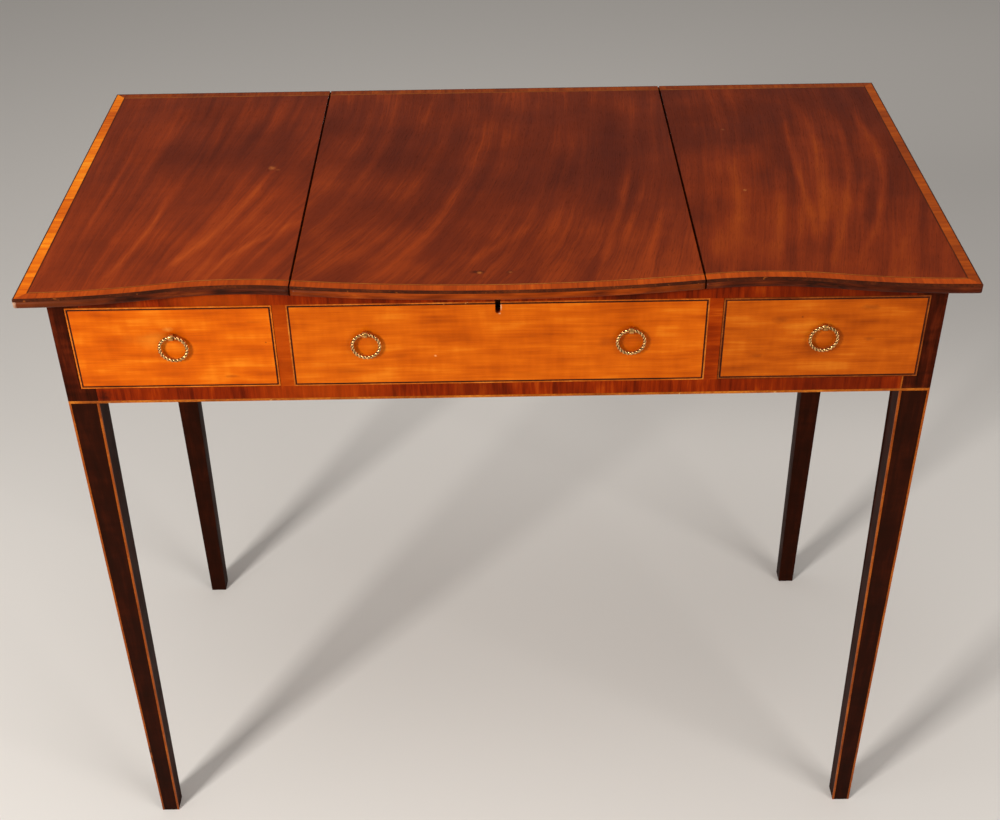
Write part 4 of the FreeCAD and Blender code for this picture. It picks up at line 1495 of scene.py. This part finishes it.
@dataclass
class Frieze:
    """The front: rails, dividers, banding, panels and lines; widths in millimetres."""

    finishes: Materials
    light_line: float = 1.3
    dark_line: float = 1.7
    keyhole: float = 5.0
    end_line: float = 1.4
    end_line_depth: float = 0.3
    end_line_proud: float = 0.02
    ground_edge: float = 0.2
    veneer_edge: float = 0.1
    string_edge: float = 0.35
    line_edge: float = 0.08

    def rails(self) -> None:
        """Grounds behind the veneer, and the banding over them."""
        for node in ("front_top_rail", "front_bottom_rail", "front_dividers", "centre_front"):
            dress(node, self.finishes["ground_mahogany"], self.ground_edge)
        node = "frieze_crossbanding"
        middle = sum(corner.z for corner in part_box(node)) / 2
        strips: tuple[tuple[str, str, Pick], ...] = (
            ("frieze_rail_banding", "rail_banding", lambda low, high: high.z < middle),
            ("frieze_top_banding", "top_rail_banding", lambda low, high: low.z > middle),
            ("frieze_post_banding", "post_banding", lambda low, high: low.z < middle < high.z),
        )
        for number, (name, finish, pick) in enumerate(strips):
            dress(node, self.finishes[finish], self.veneer_edge, pick, name, hides=number == 0)
        dress("frieze_edge_string", self.finishes["boxwood_line"], self.string_edge)

    def border(self, node: str, inset: float, width: float, gap: float) -> bmesh.types.BMesh:
        """A line round a front, mitred at its corners.

        Args:
            node: the node of the front's lines, whose box the line follows.
            inset: how far in from the box it starts.
            width: its width.
            gap: the width of the break at the middle of its top; 0 for none.

        Returns:
            The line.
        """
        low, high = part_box(node)
        section = [(inset, low.y), (inset + width, low.y), (inset + width, high.y), (inset, high.y)]
        turns = [
            (high.x, -1, high.z, -1), (high.x, -1, low.z, 1), (low.x, 1, low.z, 1), (low.x, 1, high.z, -1),
        ]
        if gap:
            middle, half = (low.x + high.x) / 2, gap * MM / 2
            turns = [(middle + half, 0, high.z, -1), *turns, (middle - half, 0, high.z, -1)]
        shape = bmesh.new()
        rings = [
            [shape.verts.new((x + in_x * step * MM, y, z + in_z * step * MM)) for step, y in section]
            for x, in_x, z, in_z in turns
        ]
        for near, far in zip(rings, rings[1:] if gap else rings[1:] + rings[:1]):
            for index in range(len(section)):
                shape.faces.new((near[index], far[index], far[index - 1], near[index - 1]))
        if gap:
            shape.faces.new(rings[0])
            shape.faces.new(reversed(rings[-1]))
        bmesh.ops.recalc_face_normals(shape, faces=shape.faces)
        soften(shape, self.line_edge)
        return shape

    def panel(self, name: str) -> None:
        """A satinwood panel with its dark and light lines.

        Args:
            name: the front that carries it.
        """
        dress(f"{name}_veneer", self.finishes[f"satinwood_{name}"], self.veneer_edge)
        node = f"{name}_lines"
        gap = self.keyhole if name == "centre_front" else 0.0
        light = self.border(node, 0.0, self.light_line, gap)
        put(f"{name}_light_line", light, [self.finishes[f"{name}_line"]], node, node)
        dark = self.border(node, self.light_line, self.dark_line, gap)
        put(f"{name}_dark_line", dark, [self.finishes["ebony_line"]], node)

    def end(self) -> None:
        """The short light line where the bottom rail's banding meets the right-hand leg."""
        node = "frieze_edge_string"
        below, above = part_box(node)
        left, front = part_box("leg_front_right")[0].x, below.y - self.end_line_proud * MM
        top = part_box("front_bottom_rail")[1].z
        shape = bmesh.new()
        add_block(
            shape, Vector((left, front, above.z)),
            Vector((left + self.end_line * MM, front + self.end_line_depth * MM, top)),
        )
        soften(shape, self.line_edge)
        put("rail_end_line", shape, [self.finishes["boxwood_line"]], node)

    def build(self) -> None:
        """The whole front."""
        self.rails()
        for name in FRONTS:
            self.panel(name)
        self.end()


@dataclass
class Carcase:
    """Boards, partitions, trays and runners, and the legs that carry them; edges in millimetres."""

    finishes: Materials
    board_edge: float = 0.5
    thin_edge: float = 0.4
    string_edge: float = 0.35

    def build(self) -> None:
        """Each board with its own grain, then the legs and their lines."""
        made = self.finishes
        for side in Side:
            dress(f"side_board_{side.word}", made["side_mahogany"], self.board_edge)
            for end in ("front", "back"):
                dress(f"leg_{end}_{side.word}", made["leg_mahogany"], self.board_edge)
        for node in ("back_board", "tray_fronts"):
            dress(node, made["lining_oak_across"], self.thin_edge)
        for node in ("partitions", "tray_floors", "well_bottom", "drawer_runners"):
            dress(node, made["lining_oak_deep"], self.board_edge)
        dress("leg_stringing", made["leg_line"], self.string_edge)


class Tree(Maker):
    """A geometry node tree with named inputs."""

    def __init__(self, name: str, inputs: dict[str, Kind]) -> None:
        """Starts a tree.

        Args:
            name: the tree's name.
            inputs: the kind of each named input.
        """
        super().__init__(bpy.data.node_groups.new(name, "GeometryNodeTree"))
        self.named = {
            key: self.tree.interface.new_socket(key, in_out="INPUT", socket_type=kind.value).identifier
            for key, kind in {"Geometry": Kind.GEOMETRY, **inputs, "Material": Kind.MATERIAL}.items()
        }
        self.tree.interface.new_socket("Geometry", in_out="OUTPUT", socket_type=Kind.GEOMETRY.value)
        self.start = self.tree.nodes.new("NodeGroupInput")

    def read(self, *names: str) -> list[Socket]:
        """The sockets of named inputs."""
        return [self.start.outputs[name] for name in names]

    def end(self, shape: Socket) -> None:
        """Makes every instance real, sets the material and closes the tree.

        Args:
            shape: the finished geometry.
        """
        [material] = self.read("Material")
        real = self.add("GeometryNodeRealizeInstances", {0: shape})
        done = self.add("GeometryNodeSetMaterial", {"Geometry": real, "Material": material})
        output = self.tree.nodes.new("NodeGroupOutput")
        self.tree.links.new(done, output.inputs[0])

    def mesh(self, name: str, values: dict[str, object], points: Sequence[Vector] = ()) -> bpy.types.Mesh:
        """Runs the tree once and keeps what it makes as a plain mesh.

        Args:
            name: the mesh's name.
            values: a value for each named input.
            points: the points that the tree starts from.

        Returns:
            The mesh.
        """
        seed = bpy.data.meshes.new(f"{name}_points")
        seed.from_pydata([tuple(point) for point in points], [], [])
        holder = bpy.data.objects.new(f"{name}_holder", seed)
        bpy.context.scene.collection.objects.link(holder)
        modifier = holder.modifiers.new("shape", "NODES")
        modifier.node_group = self.tree
        for key, given in values.items():
            modifier[self.named[key]] = given
        graph = bpy.context.evaluated_depsgraph_get()
        made = bpy.data.meshes.new_from_object(holder.evaluated_get(graph), depsgraph=graph)
        made.name = name
        holder.modifiers.remove(modifier)
        bpy.data.objects.remove(holder)
        bpy.data.meshes.remove(seed)
        return made


@dataclass
class Drawer:
    """A drawer's box behind its front, with lapped dovetails at the front corners; sizes in millimetres."""

    side: Side
    finishes: Materials
    tails: int = 3
    tail_length: float = 8.0
    tail_height: float = 12.0
    tail_depth: float = 1.0
    flare: float = 0.18
    proud: float = 0.06
    front_edge: float = 0.3
    board_edge: float = 0.5
    bottom_edge: float = 0.4

    def tail_tree(self) -> Tree:
        """Dovetails on points, each a block that widens towards the front."""
        tree = Tree("dovetails", dict.fromkeys(("Depth", "Length", "Height", "Flare"), Kind.FLOAT))
        points, depth, length, height, flare = tree.read("Geometry", "Depth", "Length", "Height", "Flare")
        size = tree.add("ShaderNodeCombineXYZ", {0: depth, 1: length, 2: height})
        block = tree.add("GeometryNodeMeshCube", {"Size": size})
        place = tree.add("GeometryNodeInputPosition", {})
        y, z = (tree.add("ShaderNodeSeparateXYZ", {0: place}, axis) for axis in (1, 2))
        ahead = tree.sum("MULTIPLY", tree.sum("DIVIDE", y, length), tree.sum("MULTIPLY", flare, -2.0))
        spread = tree.add("ShaderNodeCombineXYZ", {2: tree.sum("MULTIPLY", z, ahead)})
        block = tree.add("GeometryNodeSetPosition", {"Geometry": block, "Offset": spread})
        tree.end(tree.add("GeometryNodeInstanceOnPoints", {"Points": points, "Instance": block}))
        return tree

    def dovetails(self, name: str) -> None:
        """The sides' dovetails, let into the ends of the front.

        Args:
            name: the drawer's name.
        """
        node = f"{name}_sides"
        low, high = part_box(node)
        inward = (self.tail_depth / 2 - self.proud) * MM
        step = (high.z - low.z) / self.tails
        points = [
            Vector((x, low.y - self.tail_length * MM / 2, low.z + step * (number + 0.5)))
            for x in (low.x + inward, high.x - inward) for number in range(self.tails)
        ]
        mesh = self.tail_tree().mesh(f"{name}_dovetails", {
            "Depth": self.tail_depth * MM, "Length": self.tail_length * MM, "Height": self.tail_height * MM,
            "Flare": self.flare, "Material": self.finishes["lining_oak_deep"],
        }, points)
        settle(f"{name}_dovetails", mesh, [], node)

    def build(self) -> None:
        """Front, sides, back, bottom and dovetails."""
        name = f"drawer_{self.side.word}"
        dress(f"{name}_front", self.finishes["ground_mahogany"], self.front_edge)
        dress(f"{name}_sides", self.finishes["lining_oak_deep"], self.board_edge)
        dress(f"{name}_back", self.finishes["lining_oak_across"], self.board_edge)
        dress(f"{name}_bottom", self.finishes["lining_oak_across"], self.bottom_edge)
        self.dovetails(name)


@dataclass
class RingPulls:
    """Rope-twist rings hung in brass eyes.

    groove is the depth of the twist's grooves as a share of the wire's radius, and eye_edge is the width
    of the eyes' rounding, in millimetres.
    """

    finishes: Materials
    twists: int = 11
    groove: float = 0.46
    steps: int = 396
    sides: int = 16
    eye_edge: float = 0.6

    def rope(self) -> Tree:
        """A ring of twisted wire about a place, its axis along Y."""
        tree = Tree("rope_ring", {
            "Ring Radius": Kind.FLOAT, "Wire Radius": Kind.FLOAT, "Twists": Kind.INT, "Groove": Kind.FLOAT,
            "Steps": Kind.INT, "Sides": Kind.INT, "Centre": Kind.VECTOR,
        })
        ring_radius, wire_radius, centre = tree.read("Ring Radius", "Wire Radius", "Centre")
        twists, groove, steps, sides = tree.read("Twists", "Groove", "Steps", "Sides")
        index = tree.add("GeometryNodeInputIndex", {})
        turn = tree.sum("DIVIDE", tree.sum("MULTIPLY", index, math.tau), sides)
        crown = tree.sum("ABSOLUTE", tree.sum("COSINE", turn))
        sunk = tree.sum("MULTIPLY", tree.sum("SUBTRACT", 1.0, crown), groove)
        shrink = tree.sum("SUBTRACT", 1.0, sunk)
        circle = "GeometryNodeCurvePrimitiveCircle"
        wire = tree.add(circle, {"Resolution": sides, "Radius": wire_radius}, mode="RADIUS")
        at = tree.add("GeometryNodeInputPosition", {})
        drawn = tree.add("ShaderNodeVectorMath", {0: at, "Scale": shrink}, operation="SCALE")
        wire = tree.add("GeometryNodeSetPosition", {"Geometry": wire, "Position": drawn})
        wire = tree.add(
            "GeometryNodeStoreNamedAttribute", {"Geometry": wire, "Name": CROWN, "Value": crown},
            data_type="FLOAT", domain="POINT",
        )
        ring = tree.add(circle, {"Resolution": steps, "Radius": ring_radius}, mode="RADIUS")
        lay = tree.sum("MULTIPLY", twists, math.tau)
        tilt = tree.sum("DIVIDE", tree.sum("MULTIPLY", index, lay), steps)
        ring = tree.add("GeometryNodeSetCurveTilt", {"Curve": ring, "Tilt": tilt})
        rope = tree.add("GeometryNodeCurveToMesh", {"Curve": ring, "Profile Curve": wire})
        rope = tree.add("GeometryNodeSetShadeSmooth", {"Geometry": rope, "Shade Smooth": True})
        tree.end(tree.add("GeometryNodeTransform", {
            "Geometry": rope, "Rotation": (math.pi / 2, 0.0, 0.0), "Translation": centre,
        }))
        return tree

    def build(self) -> None:
        """Four rings and their eyes."""
        rope = self.rope()
        for place in ("drawer_left", "centre_left", "centre_right", "drawer_right"):
            node = f"ring_{place}"
            low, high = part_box(node)
            wire = (high - low).y / 2
            mesh = rope.mesh(f"{node}_rope", {
                "Ring Radius": (high - low).z / 2 - wire, "Wire Radius": wire, "Twists": self.twists,
                "Groove": self.groove, "Steps": self.steps, "Sides": self.sides,
                "Centre": (low + high) / 2, "Material": self.finishes["ring_brass"],
            })
            settle(f"{node}_rope", mesh, [], node, node)
        for node in ("ring_eye_left", "ring_eye_right", "ring_eyes_centre"):
            dress(node, self.finishes["eye_brass"], self.eye_edge)


@dataclass
class Fittings:
    """Hinges, lock and looking-glass; sizes in millimetres.

    head_share is a screw head's share of its sinking's radius, foot_share the share of that at its foot,
    and slot_reach the slot's length in radii, past both sides.
    """

    finishes: Materials
    slot_width: float = 0.7
    slot_depth: float = 0.6
    slot_reach: float = 3.0
    head_height: float = 1.3
    head_share: float = 0.97
    foot_share: float = 0.6
    head_sides: int = 20
    seed: int = 7
    brass_edge: float = 0.25
    frame_edge: float = 1.4
    glass_edge: float = 0.2

    def screw_tree(self) -> Tree:
        """Slotted screw heads on points, each turned by chance, facing the back."""
        tree = Tree("hinge_screw_heads", {
            "Head Radius": Kind.FLOAT, "Head Height": Kind.FLOAT, "Slot Width": Kind.FLOAT,
            "Slot Depth": Kind.FLOAT, "Seed": Kind.INT,
        })
        points, radius, height = tree.read("Geometry", "Head Radius", "Head Height")
        slot_width, slot_depth, seed = tree.read("Slot Width", "Slot Depth", "Seed")
        head = tree.add("GeometryNodeMeshCone", {
            "Vertices": self.head_sides, "Radius Top": radius, "Depth": height,
            "Radius Bottom": tree.sum("MULTIPLY", radius, self.foot_share),
        })
        reach = tree.sum("MULTIPLY", radius, self.slot_reach)
        size = tree.add("ShaderNodeCombineXYZ", {0: reach, 1: slot_width, 2: slot_depth})
        bar = tree.add("GeometryNodeMeshCube", {"Size": size})
        lift = tree.add("ShaderNodeCombineXYZ", {2: height})
        bar = tree.add("GeometryNodeTransform", {"Geometry": bar, "Translation": lift})
        head = tree.add("GeometryNodeMeshBoolean", {0: head, 1: bar}, operation="DIFFERENCE")
        spin = tree.add("FunctionNodeRandomValue", {
            "Min": (-math.pi / 2, 0.0, 0.0), "Max": (-math.pi / 2, math.tau, 0.0), "Seed": seed,
        }, data_type="FLOAT_VECTOR")
        tree.end(tree.add("GeometryNodeInstanceOnPoints", {
            "Points": points, "Instance": head, "Rotation": spin,
        }))
        return tree

    def screws(self) -> None:
        """A slotted head for each screw of the back leaves."""
        points = []
        radius = 0.0
        for shape in solids("hinge_screws"):
            low, high = corners(shape)
            radius = (high - low).x / 2
            middle = (low + high) / 2
            points.append(Vector((middle.x, high.y - self.head_height * MM, middle.z)))
            shape.free()
        points.sort(key=lambda point: point.x)
        mesh = self.screw_tree().mesh("hinge_screw_heads", {
            "Head Radius": radius * self.head_share, "Head Height": self.head_height * MM,
            "Slot Width": self.slot_width * MM, "Slot Depth": self.slot_depth * MM, "Seed": self.seed,
            "Material": self.finishes["fitting_brass"],
        }, points)
        settle("hinge_screw_heads", mesh, [], "hinge_screws", "hinge_screws")

    def build(self) -> None:
        """Hinges and screws, lock, and the looking-glass in its frame."""
        for node in ("hinge_back_leaves", "hinge_pins", "lock_case", "lock_bolt", "lid_centre_lock_link"):
            dress(node, self.finishes["fitting_brass"], self.brass_edge)
        self.screws()
        dress("mirror_surround", self.finishes["mirror_frame_mahogany"], self.frame_edge)
        dress("mirror_glass", self.finishes["silvering"], self.glass_edge)


@dataclass
class Lamp:
    """A soft box: its place, width and height in metres, its power in watts and its colour.

    spread is the angle that its light fans out to, in degrees; a grid in front of the box narrows it.
    tilt turns the box up from its target, in degrees.
    """

    name: str
    place: Triple
    size: Pair
    power: float
    colour: Triple
    spread: float = 180.0
    tilt: float = 0.0

    def build(self, target: Vector) -> None:
        """Hangs the lamp and turns it to a point.

        Args:
            target: the point.
        """
        data = bpy.data.lights.new(self.name, "AREA")
        data.shape = "RECTANGLE"
        data.size, data.size_y = self.size
        data.energy = self.power
        data.color = self.colour
        data.spread = math.radians(self.spread)
        lamp = bpy.data.objects.new(self.name, data)
        lamp.location = self.place
        turn = (target - Vector(self.place)).to_track_quat("-Z", "Y")
        lift = Matrix.Rotation(math.radians(self.tilt), 3, "X").to_quaternion()
        lamp.rotation_euler = (turn @ lift).to_euler()
        bpy.context.scene.collection.objects.link(lamp)


@dataclass
class Studio:
    """The floor, the light and the camera. The photograph is 1000 by 820 pixels."""

    photo_width: int = 1000
    focal_pixels: float = 1429.45
    sensor: float = 36.0
    place: Triple = (0.00059, -1.40905, 1.48266)
    pitch: float = 0.62392
    roll: float = -0.0157
    floor_size: float = 60.0
    floor_colour: str = "#e8e4df"
    floor_roughness: float = 0.95
    floor_specular: float = 0.1
    sky_colour: str = "#d9d6d3"
    sky_strength: float = 0.28
    lamps: tuple[Lamp, ...] = (
        Lamp("left_box", (-1.7, -2.0, 1.85), (0.5, 0.5), 66.0, (1.0, 0.97, 0.93)),
        Lamp("right_box", (1.9, -1.9, 1.75), (1.3, 1.3), 29.0, (1.0, 0.97, 0.94)),
        Lamp("high_box", (-0.2, -0.3, 3.1), (2.0, 2.0), 24.0, (1.0, 0.98, 0.96)),
        Lamp("rear_box", (0.3, 4.2, 0.58), (3.0, 0.3), 4.0, (1.0, 0.98, 0.95), spread=50.0, tilt=10.0),
    )

    def camera(self) -> None:
        """The photograph's viewpoint: level, turned down by the pitch and tipped by the roll."""
        data = bpy.data.cameras.new("photo_camera")
        data.sensor_fit = "HORIZONTAL"
        data.sensor_width = self.sensor
        data.lens = self.focal_pixels / self.photo_width * self.sensor
        forward = Vector((0.0, math.cos(self.pitch), -math.sin(self.pitch)))
        right = Vector((1.0, 0.0, 0.0))
        up = right.cross(forward)
        across = right * math.cos(self.roll) + up * math.sin(self.roll)
        over = up * math.cos(self.roll) - right * math.sin(self.roll)
        camera = bpy.data.objects.new("photo_camera", data)
        turn = Matrix((across, over, -forward)).transposed().to_4x4()
        camera.matrix_world = Matrix.Translation(self.place) @ turn
        bpy.context.scene.collection.objects.link(camera)
        bpy.context.scene.camera = camera

    def floor(self) -> None:
        """A plain pale floor under the feet."""
        shape = bmesh.new()
        bmesh.ops.create_grid(shape, x_segments=1, y_segments=1, size=self.floor_size / 2)
        mesh = bpy.data.meshes.new("floor")
        shape.to_mesh(mesh)
        shape.free()
        mesh.materials.append(Sketch("floor_paper").done({
            "Base Color": tint(self.floor_colour), "Roughness": self.floor_roughness,
            "Specular IOR Level": self.floor_specular,
        }))
        floor = bpy.data.objects.new("floor", mesh)
        bpy.context.scene.collection.objects.link(floor)

    def build(self) -> None:
        """Floor, sky, lamps and camera."""
        self.floor()
        world = bpy.data.worlds.new("studio_sky")
        world.use_nodes = True
        background = world.node_tree.nodes["Background"]
        background.inputs["Color"].default_value = tint(self.sky_colour)
        background.inputs["Strength"].default_value = self.sky_strength
        bpy.context.scene.world = world
        target = (CAD_BOX[0] + CAD_BOX[1]) / 2
        target.z = CAD_BOX[1].z
        for lamp in self.lamps:
            lamp.build(target)
        self.camera()
        bpy.context.scene.view_settings.view_transform = "Standard"


def main() -> None:
    """Builds the table from the top down, then the studio round it."""
    logging.basicConfig(level=logging.INFO, format="%(message)s")
    finishes = all_finishes()
    centre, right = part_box("lid_centre")[1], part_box("lid_right")[0]
    seam = (centre.x + right.x) / 2
    plan = TopPlan(half=CAD_BOX[1].x, front=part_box("lid_left")[0].y, back=centre.y, seam=seam)
    for lid in LIDS:
        Lid(lid, plan, finishes).build()
    Frieze(finishes).build()
    Carcase(finishes).build()
    for side in Side:
        Drawer(side, finishes).build()
    RingPulls(finishes).build()
    Fittings(finishes).build()
    Studio().build()


if __name__ == "__main__":
    main()
